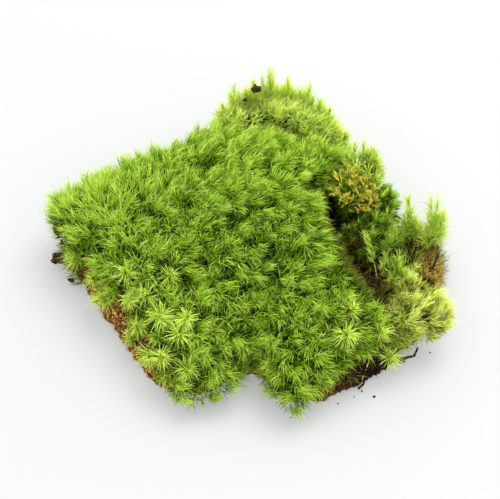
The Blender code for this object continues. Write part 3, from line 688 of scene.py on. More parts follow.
head_axis = unit(np.stack([hearts[:, 3], hearts[:, 4], np.ones(len(hearts))], axis=1))
head_foot = hearts[:, :3] * MM
heads = {"foot": head_foot, "tip": head_foot + HEAD_STEM * head_axis, "axis": head_axis}
head_growth = np.array([
    (HEAD_SWEEP * lean_x, HEAD_SWEEP * lean_y, HEAD_OPENNESS, length, HEAD_TONE * tone, 0)
    for _, _, _, lean_x, lean_y, length, tone in HEADS
])
stars = blades("moss_open_heads", star_leaves(heads, head_growth, 110), light_broom_moss)
turf_core = core("moss_turf_core", turf_points, turf_skin, 3.5 * MM)
turf_old = undergrowth(turf_points, turf_skin, 7, 1.2, UNDER_TONE, lean=(0.3, 0, 0.2))
turf_old = picked(turf_old, ~in_window(turf_old["base"]))
tone_around = growth_at(turf_old["base"], TURF_GROWTH, GROWTH_REACH)[:, TONE]
turf_old["tone"] += TONE_PULL * (tone_around - UNDER_TONE)
# Lower in the gaps and hollows as painted shade, and lower still in the dead patch for its own dead
# colour.
turf_old["tone"] -= GAP_PAINTED_SHADE * open_ground(turf_old["base"]) + IN_STALE * within(turf_old["base"], STALE)
turf_under = blades("moss_turf_undergrowth", turf_old, painted_shade_moss, SHORT_RINGS)
settle_in([stars, turf_core, turf_under], "broom_moss_turf")


# The ridge of the same moss behind the furrow, and the four tufts of it at the back right, in the
# gully and at the right edge. Their shoots stand upright like plumes, leafy from the mat to their
# pale tips.

# How the ridge grows: rows as in the table of the turf's growth
RIDGE_GROWTH = [
    (-10, 72, -0.15, 0.30, 0.60, 9.0, 1.02, 3.8),
    (10, 84, 0.20, 0.40, 0.60, 9.0, 1.05, 3.8),
    (12, 68, 0.65, 0.05, 0.60, 9.5, 1.10, 3.8),
    (36, 62, 0.70, 0.15, 0.60, 9.0, 1.08, 3.8),
]
# The plumes of the tufts and the tallest of the ridge: x, y and z of the foot, then of the tip
RIM_PLUMES = [
    (-16, 62, 26, -17, 66, 38), (-13, 68, 28, -14, 71, 43), (-6, 73, 30, -8, 79, 48),
    (-1, 76, 30, -2, 79, 45), (3, 75, 32, 2, 80, 51), (6, 74, 30, 5, 76, 44),
    (9, 76, 32, 9, 84, 55), (10, 76, 32, 10, 82, 51), (14, 76, 32, 13, 80, 47),
    (18, 75, 32, 19, 81, 51), (23, 75, 31, 24, 79, 46), (26, 72, 31, 29, 79, 49),
    (31, 68, 30, 35, 71, 46), (35, 66, 28, 39, 68, 43), (38, 60, 28, 42, 62, 40),
    (42, 54, 24, 47, 56, 39), (45, 50, 20, 49, 51, 34),
]
TUFT_PLUMES = {
    "broom_moss_back_tuft": [
        (53, 37, 16, 53, 43, 47), (51, 37, 16, 49, 42, 45), (55, 37, 16, 57, 40, 46),
        (57, 35, 16, 60, 36, 43), (49, 37, 16, 46, 38, 42), (56, 32, 16, 61, 29, 38),
        (51, 33, 16, 50, 33, 44), (54, 32, 16, 55, 30, 41), (49, 34, 16, 46, 32, 37),
        (59, 37, 12, 63, 40, 32), (50, 42, 9, 46, 47, 28), (56, 42, 9, 57, 48, 33),
        (48, 40, 16, 44, 43, 40), (58, 31, 14, 61, 33, 34),
    ],
    "broom_moss_gully_tuft": [
        (63, -14, 12, 61, -10, 28), (64, -15, 12, 60, -15, 24), (68, -15, 12, 68, -10, 28),
        (68, -16, 12, 69, -15, 25), (65, -20, 12, 65, -21, 22), (68, -17, 12, 71, -18, 23),
        (74, -15, 14, 77, -14, 24), (66, -16, 12, 66, -14, 23),
    ],
    "broom_moss_edge_tuft": [
        (75, 2, 21, 71, 9, 46), (74, 2, 21, 72, 7, 41), (74, 2, 21, 69, 5, 36),
        (75, 2, 21, 76, 4, 37), (76, 2, 21, 78, 2, 32), (74, 3, 22, 73, 9, 38),
    ],
    "broom_moss_tall_tuft": [
        (82, -1, 22, 81, 8, 46), (84, 0, 22, 85, 8, 46), (85, -1, 22, 88, 4, 41),
        (84, -2, 22, 88, 0, 34), (83, 1, 24, 83, 7, 38), (82, -2, 22, 80, 0, 32),
        (85, 1, 24, 87, 8, 37), (85, 1, 24, 90, 5, 38), (86, 0, 23, 91, 2, 32),
    ],
}
# Each tuft: how slim and how low its old growth is beside its solid, tone, leaf length and count
TUFT_HEARTS = {
    "broom_moss_back_tuft": (0.8, 0.8, 0.90, 8.5, 100),
    "broom_moss_gully_tuft": (0.6, 0.4, 0.84, 6.0, 60),
    "broom_moss_edge_tuft": (0.45, 0.35, 0.76, 8.0, 80),
    "broom_moss_tall_tuft": (0.4, 0.35, 1.20, 8.5, 80),
}
OLD_DARKER = 0.45  # how much lower the tone of a tuft's undergrowth is than that of its leaves
RIDGE_GAP_PAINTED_SHADE = 0.4  # how much lower the tone of the ridge's undergrowth is in its gaps, as painted shade


def plumes(rows):
    """Shoots from rows of x, y and z of their feet and then of their tips."""
    rows = np.array(rows) * MM
    foot, tip = rows[:, :3], rows[:, 3:6]
    return {"foot": foot, "tip": tip, "axis": unit(tip - foot)}


def clustered(rows, seed):
    """Each plume, with three around it whose tips are 4 to 7 mm lower and 3 mm to the side."""
    random = np.random.RandomState(seed)
    rows = np.array(rows, float)
    turn = random.uniform(0, 2 * math.pi, (len(rows), 1)) + np.arange(3) * 2 * math.pi / 3
    shift = np.stack([np.cos(turn), np.sin(turn)], axis=-1)
    around = np.repeat(rows[:, None], 3, axis=1)
    around[..., :2] += 1.5 * shift
    around[..., 3:5] += 3.0 * shift
    around[..., 5] -= random.uniform(4, 7, turn.shape)
    return np.concatenate([rows, around.reshape(-1, 6)])


def growth_of(shoots, openness, length, tone):
    """The same growth without a sweep for every shoot."""
    return np.tile([0.0, 0.0, openness, length, tone, 0.0], (len(shoots["axis"]), 1))


def plume_leaves(shoots, seed, length, tone, count=80, openness=0.8, top=0.8):
    """The leaves of plumes, all around the stem from the foot to the tip, swept as it leans."""
    growth = growth_of(shoots, openness, length, tone)
    growth[:, :2] = 0.3 * shoots["axis"][:, :2]
    return leaves_on(shoots, growth, seed, count, sunk=0, top=top, lift=0.3, size=0.5)


def lowered(places):
    """Places with their height eased down, by 0 to 7 mm from 30 to 50 mm up, so that the plumes
    stand out."""
    drop = np.interp(places[:, 2], (30 * MM, 50 * MM), (0, 7 * MM))
    return places - drop[:, None] * (0, 0, 1)


def moved(node, change):
    """The shoots and the skin of a cushion whose places are all changed in the same way."""
    shoots, points, skin = shoots_of(node)
    shoots["foot"], shoots["tip"] = change(shoots["foot"]), change(shoots["tip"])
    return shoots, change(points), skin


ridge_shoots, ridge_points, ridge_skin = moved("broom_moss_back_ridge", lowered)
ridge_shoots, ridge_growth = grown(ridge_shoots, RIDGE_GROWTH, GROWTH_REACH, 0, open_ground)
ridge_leaves = leaves_on(ridge_shoots, ridge_growth, 200, count=52, top=1.0, lift=0.1, curl=0.5)
rim_shoots = plumes(clustered(RIM_PLUMES, 232))
rim_leaves = plume_leaves(rim_shoots, 230, 6.5, 1.0, count=70, openness=1.1, top=0.75)
ridge_old = undergrowth(ridge_points, ridge_skin, 220, 1.2, 1.0, lean=(0.4, 0, 0.6))
ridge_old["tone"] -= RIDGE_GAP_PAINTED_SHADE * open_ground(ridge_old["base"])
ridge_pieces = [
    blades("moss_back_ridge", together(ridge_leaves, rim_leaves), light_broom_moss),
    blades("moss_back_ridge_undergrowth", ridge_old, light_broom_moss, SHORT_RINGS),
    core("moss_back_ridge_core", ridge_points, ridge_skin, 4.0 * MM),
]
settle_in(ridge_pieces, "broom_moss_back_ridge")

for seed, (node, rows) in enumerate(TUFT_PLUMES.items(), 201):
    slim, low, tone, length, count = TUFT_HEARTS[node]
    _, points, skin = shoots_of(node)
    middle = np.array([*points[:, :2].mean(axis=0), points[:, 2].min()])
    points = middle + (points - middle) * (slim, slim, low)
    old = undergrowth(points, skin, 20 + seed, 0.7, tone - OLD_DARKER, (0, 0, 0.6), (4, 7), sunk=1)
    leaves = plume_leaves(plumes(rows), seed, length, tone, count=count, openness=1.0)
    name = node.replace("broom_moss", "moss")
    tuft_pieces = [
        blades(name, leaves, light_broom_moss),
        blades(name + "_undergrowth", old, light_broom_moss, SHORT_RINGS),
        core(name + "_core", points, skin, 2.5 * MM),
    ]
    settle_in(tuft_pieces, node)

# Feathery shoots of the turf's moss that stand among the dark moss, rows as above
MIDDLE_PLUMES = [
    (57, 4, 22, 59, 8, 36), (61, 3, 22, 64, 7, 36), (65, -2, 20, 70, 0, 32),
    (55, -3, 20, 57, -1, 33), (60, -5, 18, 64, -4, 31), (63, 0, 20, 67, 3, 34),
]
middle_leaves = plume_leaves(plumes(MIDDLE_PLUMES), 231, 8.0, 0.75, openness=0.9)
settle_in([blades("moss_middle_plumes", middle_leaves, broom_moss)])


# The pale lobe at the front right. It is the palest moss of the clump, with the longest leaves,
# which sweep outwards and turn up at their tips.

pale_moss = leaf_finish(
    "pale_moss_leaf",
    0.5,
    deep=[(130, 138, 22), (196, 208, 62)],
    bright=[(216, 234, 66), (248, 252, 158)],
    dead=[(74, 54, 26), (140, 116, 66)],
)
# Rows as in the table of the turf's growth
PALE_GROWTH = [
    (66, -30, 0.40, 0.15, 0.60, 9.5, 0.90, 5.6),
    (80, -28, 0.60, 0.05, 0.55, 9.5, 1.00, 5.2),
    (90, -38, 0.50, 0.15, 0.55, 9.5, 1.20, 5.2),
    (66, -48, 0.60, -0.20, 0.70, 9.5, 0.60, 5.0),
    (78, -46, 0.70, -0.10, 0.55, 10.0, 1.10, 5.2),
    (88, -50, 0.60, 0.05, 0.55, 9.5, 1.15, 5.2),
]
PALE_REACH = 8.0


def settled(places):
    """The lobe's right part let down, by 0 to 8 mm from 14 to 38 mm up, and drawn in by 2 mm."""
    right = np.interp(places[:, 0], (70 * MM, 82 * MM), (0, 1))
    drop = right * np.interp(places[:, 2], (14 * MM, 38 * MM), (0, 8 * MM))
    return places - np.stack([2 * MM * right, 0 * right, drop], axis=1)


def lobe_bare(places):
    """Where no shoot stands: behind the crest, where it would hide the tufts, and in the middle."""
    x, y = places[:, :2].T / MM
    behind = ((x < 71) & (y > -33)) | ((x > 77) & (y > -30))
    return behind | (np.hypot(x - 74, y + 35) <= 4)


lobe_shoots, lobe_points, lobe_skin = moved("pale_moss_lobe", settled)
lobe_shoots, lobe_growth = grown(lobe_shoots, PALE_GROWTH, PALE_REACH, 9, lobe_bare)
lobe_growth[:, TONE] += np.random.RandomState(310).normal(0, 0.2, len(lobe_growth))
lobe_leaves = leaves_on(
    lobe_shoots, lobe_growth, 301, count=62, width=0.38 * MM, upright=0.2, top=0.7, lift=0.9, curl=0.5
)
lobe_old = undergrowth(lobe_points, lobe_skin, 302, 1.2, 0.34, (0.4, 0, 0.2), (4, 7))
lobe_pieces = [
    blades("pale_lobe", lobe_leaves, pale_moss),
    blades("pale_lobe_undergrowth", lobe_old, pale_moss, SHORT_RINGS),
    core("pale_lobe_core", lobe_points, lobe_skin, 3.5 * MM),
]
settle_in(lobe_pieces, "pale_moss_lobe")


# The low patch of dark moss behind the gully: another kind, with short, straight, spiky leaves
# set all around stems that stand close in rows.

dark_moss = leaf_finish(
    "dark_moss_leaf",
    0.35,
    deep=[(40, 70, 2), (84, 134, 10)],
    bright=[(104, 158, 12), (184, 224, 72)],
    dead=[(52, 36, 16), (120, 92, 44)],
)
# Rows as in the table of the turf's growth
DARK_GROWTH = [
    (63, 19, 0.90, 0.10, 0.50, 6.0, 0.76, 4.0),
    (62, 4, 0.40, 0.10, 0.80, 4.8, 0.42, 3.8),
    (47, 0, 0.20, -0.20, 0.90, 4.8, 0.24, 3.6),
]
DARK_REACH = 9.0
patch_shoots, patch_points, patch_skin = shoots_of("dark_green_moss_patch")
patch_shoots, patch_growth = grown(patch_shoots, DARK_GROWTH, DARK_REACH, 6)
patch_leaves = leaves_on(
    patch_shoots, patch_growth, 302, count=44, width=0.45 * MM, upright=0.2, lift=0.1, youth=0.6,
    curl=0.25, size=0.5,
)
patch_old = undergrowth(patch_points, patch_skin, 303, 1.2, 0.16, lengths=(3, 5))
patch = blades("dark_patch", together(patch_leaves, patch_old), dark_moss, SHORT_RINGS)
patch_core = core("dark_patch_core", patch_points, patch_skin, 2.5 * MM)
settle_in([patch, patch_core], "dark_green_moss_patch")


# The golden tuft: a coarse feathery moss. Its fronds spread from the middle, each an orange brown
# stem with yellow side branches, and all are covered in small pointed leaves like ropes.

golden_moss = leaf_finish(
    "golden_moss_leaf",
    0.35,
    deep=[(102, 84, 8), (162, 146, 18)],
    bright=[(200, 194, 24), (248, 242, 108)],
    dead=[(84, 40, 12), (166, 92, 34)],
)
# Its fronds: x, y and z of the foot, then of the tip
FRONDS = [
    (46, 18, 26, 38, 18, 36), (45, 20, 27, 41, 25, 38), (47, 23, 27, 45, 31, 38),
    (49, 23, 27, 50, 30, 38), (51, 21, 27, 55, 25, 37), (52, 18, 26, 58, 17, 37),
    (52, 16, 26, 58, 12, 36), (50, 14, 25, 54, 9, 35), (46, 15, 26, 44, 14, 37),
    (48, 20, 27, 48, 23, 40), (50, 18, 27, 53, 16, 39),
]
SIDE_BRANCHES = 15  # on each frond, to left and right in turn
SIDE_BRANCH = 5.5 * MM  # length of the longest


def side_branches(fronds, seed):
    """Branches along each frond from its foot to its tip, to either side in turn. They lie in
    the plane that the frond spreads in, point forwards at half a right angle, and are longest a
    third of the way up. The last one goes on from the tip."""
    random = np.random.RandomState(seed)
    frond = np.repeat(np.arange(len(fronds["axis"])), SIDE_BRANCHES)
    rank = np.tile(np.arange(SIDE_BRANCHES), len(fronds["axis"]))
    share = (rank + 1) / SIDE_BRANCHES
    along = fronds["axis"][frond]
    flat = unit(np.cross(along, (0, 0, 1)) + random.normal(0, 0.5, along.shape))
    aside = np.where(rank % 2, 1, -1) * (rank < SIDE_BRANCHES - 1)
    axis = unit(along + aside[:, None] * flat + random.normal(0, 0.3, along.shape) + (0, 0, 0.1))
    size = SIDE_BRANCH * np.interp(share, (0, 0.35, 1), (0.5, 1, 0.55))
    size *= random.uniform(0.6, 1.3, len(frond))
    foot = fronds["foot"][frond] + share[:, None] * (fronds["tip"] - fronds["foot"])[frond]
    return {"foot": foot, "tip": foot + size[:, None] * axis, "axis": axis}


_, tuft_points, tuft_skin = shoots_of("golden_moss_tuft")
fronds = plumes(FRONDS)
branches = side_branches(fronds, 306)
branch_growth = growth_of(branches, 0.80, 1.2, 0.97)
branch_growth[:, TONE] += np.random.RandomState(307).normal(0, 0.12, len(branch_growth))
branch_leaves = leaves_on(
    branches, branch_growth, 304, count=18, width=0.30 * MM, top=0.5, sunk=0, youth=0.9, lift=0.1,
    curl=0.2, size=0.12,
)
branch_size = np.linalg.norm(branches["tip"] - branches["foot"], axis=1)
branch_ropes = {
    "base": branches["foot"],
    "start": branches["axis"],
    "bend": np.random.RandomState(309).normal(0, 0.45, branches["axis"].shape),
    "facing": np.cross(branches["axis"], (0.3, 0.2, 0.9)),
    "length": branch_size * 1.1,
    "width": np.full(len(branch_size), 0.68 * MM),
    "tone": branch_growth[:, TONE],
}
stem_growth = growth_of(fronds, 0.85, 1.2, 0.16)
stem_leaves = leaves_on(fronds, stem_growth, 308, count=60, width=0.42 * MM, top=0.5, sunk=0, size=0.4)
tuft_old = undergrowth(tuft_points, tuft_skin, 305, 0.9, 0.42, lengths=(5, 9), sunk=6)
tuft_pieces = [
    blades("golden_tuft", together(branch_ropes, branch_leaves, stem_leaves), golden_moss),
    blades("golden_tuft_undergrowth", tuft_old, painted_shade_moss, SHORT_RINGS),
    core("golden_tuft_core", tuft_points, tuft_skin, 8.0 * MM),
]
settle_in(tuft_pieces, "golden_moss_tuft")


# The duff mat: crumbled needles, rotted leaves and the brown felt of old stems, cut off flat
# underneath. It shows along the cut sides and in the gully, with fibres and crumbs standing out.

DUFF_COLOURS = [(20, 10, 3), (106, 66, 25), (212, 166, 96)]
duff = earth_finish("duff", DUFF_COLOURS, 1.4 * MM, 0.9, 0.9, stops=(0.42, 0.64))
DARKER = (0.065, 0.058, 0.045, 1)  # what the colours are multiplied by towards the right; in the gully it is painted shade
DARKENING_WAY = (1.0, 0.4, 0.0)  # the way across the mat in which it gets darker
LIGHT_UNTIL, DARK_FROM = -15 * MM, 22 * MM  # how far along that way it keeps its colour, and from where it is all darker
CUT_FLAT = 0.05 * MM  # up to this height the mat is its flat underside


# Darker towards the right: in the gully this is painted shade of the hollow.
def darken_to_the_right(material):
    """Multiplies the base colour by DARKER, which comes in from LIGHT_UNTIL to DARK_FROM along DARKENING_WAY."""
    tree = material.node_tree
    colour = tree.nodes["Principled BSDF"].inputs["Base Color"]
    place = add_node(tree, "TexCoord", {})["Object"]
    along = add_node(tree, "VectorMath", {0: place, 1: DARKENING_WAY}, operation="DOT_PRODUCT")["Value"]
    darkening = add_node(tree, "MapRange", {"Value": along, "From Min": LIGHT_UNTIL, "From Max": DARK_FROM})["Result"]
    tree.links.new(mixed(tree, darkening, colour.links[0].from_socket, DARKER, "MULTIPLY"), colour)


def finest(node):
    """A node's corners and triangles, each of these parted in sixteen."""
    return finer(*finer(*merged(node)))


darken_to_the_right(duff)
mat_points, mat_faces = finest("duff_mat")
flat = mat_points[:, 2] < CUT_FLAT
relief = lumps(mat_points, (1.0, 3.5), (0.8, 1.5), 5, 6)
relief[flat] = 0
mat_points = mat_points + relief[:, None] * normals_of(mat_points, mat_faces)
mat_points[:, 2] = np.where(flat, 0, np.maximum(mat_points[:, 2], FLOOR_CLEARANCE))
settle_in([add_piece("duff_mat_crumbly", mat_points, mat_faces, duff)], "duff_mat")

# Places on the mat and beside it: x, y, half width and half depth of an oval
MAT_GULLY = (54, -20, 10, 22)  # the open ground right of the turf
MAT_RIGHT = (79, 0, 12, 16)  # the ground under the tufts at the right edge
PATCH = (82.5, -8, 6, 9)  # bare orange felt under the tall tuft, round the sliver of bark
SHADED_HOLLOW = (69, 3, 8, 10)  # under the tuft at the edge, where its shade is painted on the leaves
MAT_DRAPED = (39, -62, 9, 7)  # the front right edge, where leaves drape over the mat
MAT_LEFT = (-84, 0, 9, 20)  # the left edge, where a felt of fibres holds the clods
LOBE_SIDE = (63, -35, 8, 15)  # between the turf and the pale lobe, where its old leaves arch over
MAT_BACK = (53, 38, 15, 17)  # the ground around the tuft at the back right
PEAT = (52, -63, 16, 11)  # the front right edge, where the mat is black and lumpy
FLANK = (42, -12, 14, 36)  # the turf's side above the gully
TURF_FOOT = 19 * MM  # old leaves hang down from below this height
LOBE_FOOT = 16 * MM  # the same for the pale lobe
RAISED = 7 * MM  # the draped edge lies above this height
HOLLOW_PAINTED_SHADE = 0.6  # how much lower the tone of the leaves is in the shaded hollow, as painted shade

mat_middles = mat_points[mat_faces].mean(axis=1)
mat_across = crosses(mat_points, mat_faces)
mat_slope = mat_across[:, 2] / np.linalg.norm(mat_across, axis=1)
mat_sides = (np.abs(mat_slope) < 0.8) & (mat_middles[:, 2] > 0.5 * MM)
mat_gully = (mat_slope > 0) & within(mat_middles, MAT_GULLY)
mat_right = (mat_slope > 0) & within(mat_middles, MAT_RIGHT)
mat_patch = (mat_slope > -0.5) & within(mat_middles, PATCH)
mat_up = mat_slope > -0.2

# Rootlets, needles and stem felt: brown blades that stand out of the mat's sides and hang down.
fibre = leaf_finish(
    "duff_fibre",
    0.1,
    deep=[(52, 28, 8), (116, 76, 30)],
    bright=[(176, 104, 38), (230, 190, 98)],
    dead=[(12, 8, 3), (34, 24, 13)],
)
side_fibres = undergrowth(
    mat_points, mat_faces[mat_sides], 401, 0.8, 0.40, (0, 0, -0.2), (1.5, 4), 0.8, 0.22 * MM
)
# They curl more than leaves do, differ in tone from patch to patch and get darker to the right
side_fibres["bend"] *= 1.8
side_fibres["tone"] += 0.5 * unevenness(side_fibres["base"], 4 * MM, 414)
side_fibres["tone"] += np.interp(side_fibres["base"][:, 0] / MM, (-40, 60), (0.2, -0.35))
# Fibres on the open ground of the gully and at the right edge: their low tone is painted shade of the
# gully.
ground_fibres = undergrowth(
    mat_points, mat_faces[mat_gully | mat_right], 402, 1.2, 0.08, (0, 0, 0), (3, 8), 0.8, 0.26 * MM
)
patch_fibres = undergrowth(
    mat_points, mat_faces[mat_patch], 413, 0.4, 0.78, (0.2, 0, 0.1), (3, 6), 0.8, 0.28 * MM
)
fibres = blades("duff_fibres", together(side_fibres, ground_fibres, patch_fibres), fibre, SHORT_RINGS)
settle_in([fibres])

# Old leaves, olive to brown, that hang from the foot of the turf and arch over the open ground.
old_leaf = leaf_finish(
    "old_leaf",
    0.35,
    deep=[(60, 56, 12), (112, 110, 36)],
    bright=[(120, 142, 24), (190, 206, 84)],
    dead=[(50, 34, 14), (128, 100, 56)],
)


def on_turf(where, seed, each, tone, lean, lengths):
    """Old leaves on some of the turf's triangles."""
    return undergrowth(turf_points, turf_skin[where], seed, each, tone, lean, lengths, sunk=1.0)


def on_mat(where, seed, each, tone, lean, lengths):
    """Old leaves on some of the mat's triangles."""
    return undergrowth(mat_points, mat_faces[where], seed, each, tone, lean, lengths, sunk=1.0)


skirt_middles = turf_points[turf_skin].mean(axis=1)
turf_flank = open_ground(skirt_middles) & within(skirt_middles, FLANK)
hanging = on_turf(skirt_middles[:, 2] < TURF_FOOT, 403, 2.2, 0.5, (0, 0, -0.7), (4, 7))
hanging = picked(hanging, ~in_window(hanging["base"]))
tangled = on_mat(mat_right & ~within(mat_middles, PATCH), 405, 1.0, 0.8, (0.1, 0.1, 0.5), (6, 11))
# The leaves in the hollow under the edge tuft are painted darker as its shade.
tangled["tone"] -= HOLLOW_PAINTED_SHADE * within(tangled["base"], SHADED_HOLLOW)
draped = mat_up & (mat_middles[:, 2] > RAISED) & within(mat_middles, MAT_DRAPED)
lobe_low = lobe_points[lobe_skin][..., 2].mean(axis=1) < LOBE_FOOT
under_lobe = undergrowth(
    lobe_points, lobe_skin[lobe_low], 421, 0.8, 0.5, (0.2, -0.2, -0.4), (4, 6), 1.0, lowest=-0.95
)
old_groups = together(
    hanging,
    # The low tones of the old leaves on the flank and in the gully are partly painted shade of the gully.
    on_turf(turf_flank, 416, 1.6, 0.3, (0.6, 0, -0.2), (5, 9)),
    on_mat(mat_gully, 404, 3.0, 0.24, (0.2, 0, 0.1), (7, 12)),
    tangled,
    on_mat(draped, 410, 0.8, 0.42, (0.1, -0.3, 0.1), (5, 9)),
    on_mat(mat_up & within(mat_middles, MAT_LEFT), 411, 0.8, 0.5, (-0.5, 0.1, 0.3), (6, 10)),
    on_mat(mat_patch, 417, 1.5, 0.6, (0.1, 0.1, 0.3), (4, 8)),
    on_mat(mat_up & within(mat_middles, LOBE_SIDE), 420, 0.9, 0.3, (-0.1, -0.1, 0.4), (6, 10)),
    under_lobe,
    on_mat(mat_up & within(mat_middles, MAT_BACK), 415, 1.2, 0.25, (0, 0, 1.5), (10, 18)),
)
settle_in([blades("old_leaves", old_groups, old_leaf, SHORT_RINGS)])

# Crumbs of bark and humus that stick to the sides and lie in the open ground.
humus = earth_finish("humus", [(30, 16, 5), (92, 54, 22), (168, 112, 54)], 1.2 * MM, 0.5, 0.9)
# The crumbs too get darker to the right, as painted shade in the gully.
darken_to_the_right(humus)
CRUMB_CLEARANCE = 0.02 * MM  # the least height of a crumb's corners


def crumbs(name, places, seed, finish, sizes):
    """Many crumbs as one mesh: each is an icosahedron with its twelve corners pushed in and out."""
    random = np.random.RandomState(seed)
    bm = bmesh.new()
    bmesh.ops.create_icosphere(bm, subdivisions=1, radius=1.0)
    ball = np.array([vert.co[:] for vert in bm.verts])
    sides = np.array([[vert.index for vert in face.verts] for face in bm.faces])
    bm.free()
    count = len(places)
    size = random.uniform(*sizes, (count, 1, 1)) * MM
    push = random.uniform(0.65, 1.15, (count, len(ball), 1))
    stretch = random.uniform(0.6, 1.2, (count, 1, 3))
    corners = places[:, None] + ball * size * push * stretch
    corners[..., 2] = np.maximum(corners[..., 2], CRUMB_CLEARANCE)
    faces = len(ball) * np.arange(count)[:, None, None] + sides
    return add_piece(name, corners.reshape(-1, 3), faces.reshape(-1, 3), finish)


def crumbs_on(name, points, faces, each, seed, finish, sizes):
    """Crumbs all over a surface, one to so many square millimetres."""
    places, _ = strewn(points, faces, each, np.random.RandomState(seed))
    return crumbs(name, places, seed + 1, finish, sizes)


loose = mat_faces[mat_sides | mat_gully | mat_right]
peat_faces = mat_faces[mat_sides & within(mat_middles, PEAT)]
mat_crumbs = crumbs_on("duff_crumbs", mat_points, loose, 2.8, 406, humus, (0.25, 0.8))
peat = crumbs_on("duff_peat_lumps", mat_points, peat_faces, 1.0, 418, humus, (0.5, 1.3))
settle_in([mat_crumbs, peat])


# Clods of dark soil that cling to the left edge and lie in the back ridge, the crust of the dead
# patch at the left edge, and the crumbs that have fallen off in front.

soil = earth_finish("soil", [(16, 11, 5), (50, 37, 20), (118, 98, 64)], 1.2 * MM, 0.8, 0.92)
# x and y of the fallen crumbs
FALLEN = [(38.7, -76.2), (49.6, -69.5), (54.8, -72.5), (81.3, -48.5), (17.9, -83.5), (46.0, -72.6)]
FALLEN_HEIGHT = 0.3  # of their middles, in mm
WORN = 0.9 * MM  # how far a clod's surface is drawn in before its lumps are raised
CLEARANCE = 0.05 * MM  # the least height of clods and sticks

for seed, node in enumerate(("soil_clod_left", "soil_crumb_left", "soil_clod_back", "soil_crumb_back")):
    points, faces = finest(node)
    relief = lumps(points, (0.8, 1.9), (0.35, 0.8), 30 + seed, 40 + seed)
    points = points + (relief - WORN)[:, None] * normals_of(points, faces)
    points[:, 2] = np.maximum(points[:, 2], CLEARANCE)
    name = node.replace("soil", "lumpy")
    clod = add_piece(name, points, faces, soil)
    clinging, _ = strewn(points, faces, 0.9, np.random.RandomState(60 + seed))
    grains = crumbs(name + "_grains", clinging, 70 + seed, soil, sizes=(0.3, 0.9))
    settle_in([clod, grains], node)

crusted = turf_skin[within(skirt_middles, STALE)]
crust = crumbs_on("left_edge_crust", turf_points, crusted, 1.6, 422, soil, (0.4, 1.3))
fallen_places = np.array([(x, y, FALLEN_HEIGHT) for x, y in FALLEN]) * MM
fallen = crumbs("fallen_crumbs", fallen_places, 408, soil, sizes=(0.3, 0.7))
settle_in([crust, fallen])


# Bits of dead wood: a twig and its stub caught under the front edge, and a dark sliver of bark
# that lies on the brown ground at the right.

# Each stick: x, y and z of places along it, and its thickness
BARK_TWIGS = {
    "twig_front": ([(67.0, -53.2, 0.9), (70.5, -51.8, 1.0), (74.0, -50.8, 1.2), (75.6, -48.0, 3.4)], 1.4),
    "twig_stub_front": ([(48.0, -68.6, 0.8), (50.2, -66.9, 2.0), (50.8, -66.6, 5.0)], 1.2),
    "bark_sliver_right": ([(86.4, -7.6, 20.0), (85.0, -11.0, 19.4), (83.4, -14.6, 18.2)], 1.5),
}
# The twig's broken butt: a splinter and a thin curled strip of bark at its left end
BROKEN_BITS = {
    "twig_splinter": ([(66.2, -53.4, 0.8), (67.6, -52.8, 1.3), (69.2, -52.3, 0.9)], 1.8),
    "twig_curled_strip": (
        [
            (66.8, -54.0, 0.5), (68.2, -54.4, 0.5), (69.6, -53.6, 0.6), (69.9, -52.3, 0.8),
            (68.9, -51.6, 1.2),
        ],
        0.6,
    ),
}
TWIG_SIDES = 12
TWIG_RINGS = 40
STICK_POINT = 0.2 * MM  # how far its closing points stand out
bark = earth_finish("bark", [(10, 7, 4), (32, 23, 15), (84, 70, 52)], 1.0 * MM, 0.7, 0.8)


def stick(name, path, thickness, seed, finish, thin_end=0.65):
    """A round stick along a path: rings across it, thinner towards its end, with knots and
    furrows from smooth noise, closed by a point at either end."""
    path = np.asarray(path, float) * MM
    steps = np.linspace(0, len(path) - 1, TWIG_RINGS)
    spine = np.stack([np.interp(steps, np.arange(len(path)), path[:, k]) for k in range(3)], axis=1)
    for _ in range(4):
        spine[1:-1] = (spine[:-2] + 2 * spine[1:-1] + spine[2:]) / 4
    along = unit(np.gradient(spine, axis=0))
    side = unit(np.cross(along, (0.3, -0.2, 1.0)))
    over = np.cross(along, side)
    around = np.linspace(0, 2 * math.pi, TWIG_SIDES, endpoint=False)[:, None]
    ring = np.cos(around) * side[:, None] + np.sin(around) * over[:, None]
    radius = thickness * MM / 2 * np.linspace(1.0, thin_end, TWIG_RINGS)[:, None]
    places = spine[:, None] + ring * radius[..., None]
    rough = 1 + 0.25 * unevenness(places.reshape(-1, 3), 0.9 * MM, seed)
    places = spine[:, None] + ring * (radius * rough.reshape(TWIG_RINGS, TWIG_SIDES))[..., None]
    ends = np.stack([spine[0] - STICK_POINT * along[0], spine[-1] + STICK_POINT * along[-1]])
    points = np.concatenate([places.reshape(-1, 3), ends])
    points[:, 2] = np.maximum(points[:, 2], CLEARANCE)
    row, turn = np.meshgrid(np.arange(TWIG_RINGS - 1), np.arange(TWIG_SIDES), indexing="ij")
    here = (row * TWIG_SIDES + turn).ravel()
    beside = (row * TWIG_SIDES + (turn + 1) % TWIG_SIDES).ravel()
    walls = [(here, beside, beside + TWIG_SIDES), (here, beside + TWIG_SIDES, here + TWIG_SIDES)]
    first, second = np.arange(TWIG_SIDES), (np.arange(TWIG_SIDES) + 1) % TWIG_SIDES
    last = TWIG_SIDES * (TWIG_RINGS - 1)
    start, end = np.full(TWIG_SIDES, len(points) - 2), np.full(TWIG_SIDES, len(points) - 1)
    caps = [(start, second, first), (end, last + first, last + second)]
    faces = np.concatenate([np.stack(part, axis=1) for part in walls + caps])
    return add_piece(name, points, faces, finish)


for seed, (node, (path, thickness)) in enumerate(BARK_TWIGS.items(), 50):
    settle_in([stick(node + "_bark", path, thickness, seed, bark)], node)
for name, (path, thickness) in BROKEN_BITS.items():
    settle_in([stick(name, path, thickness, 57, bark)])


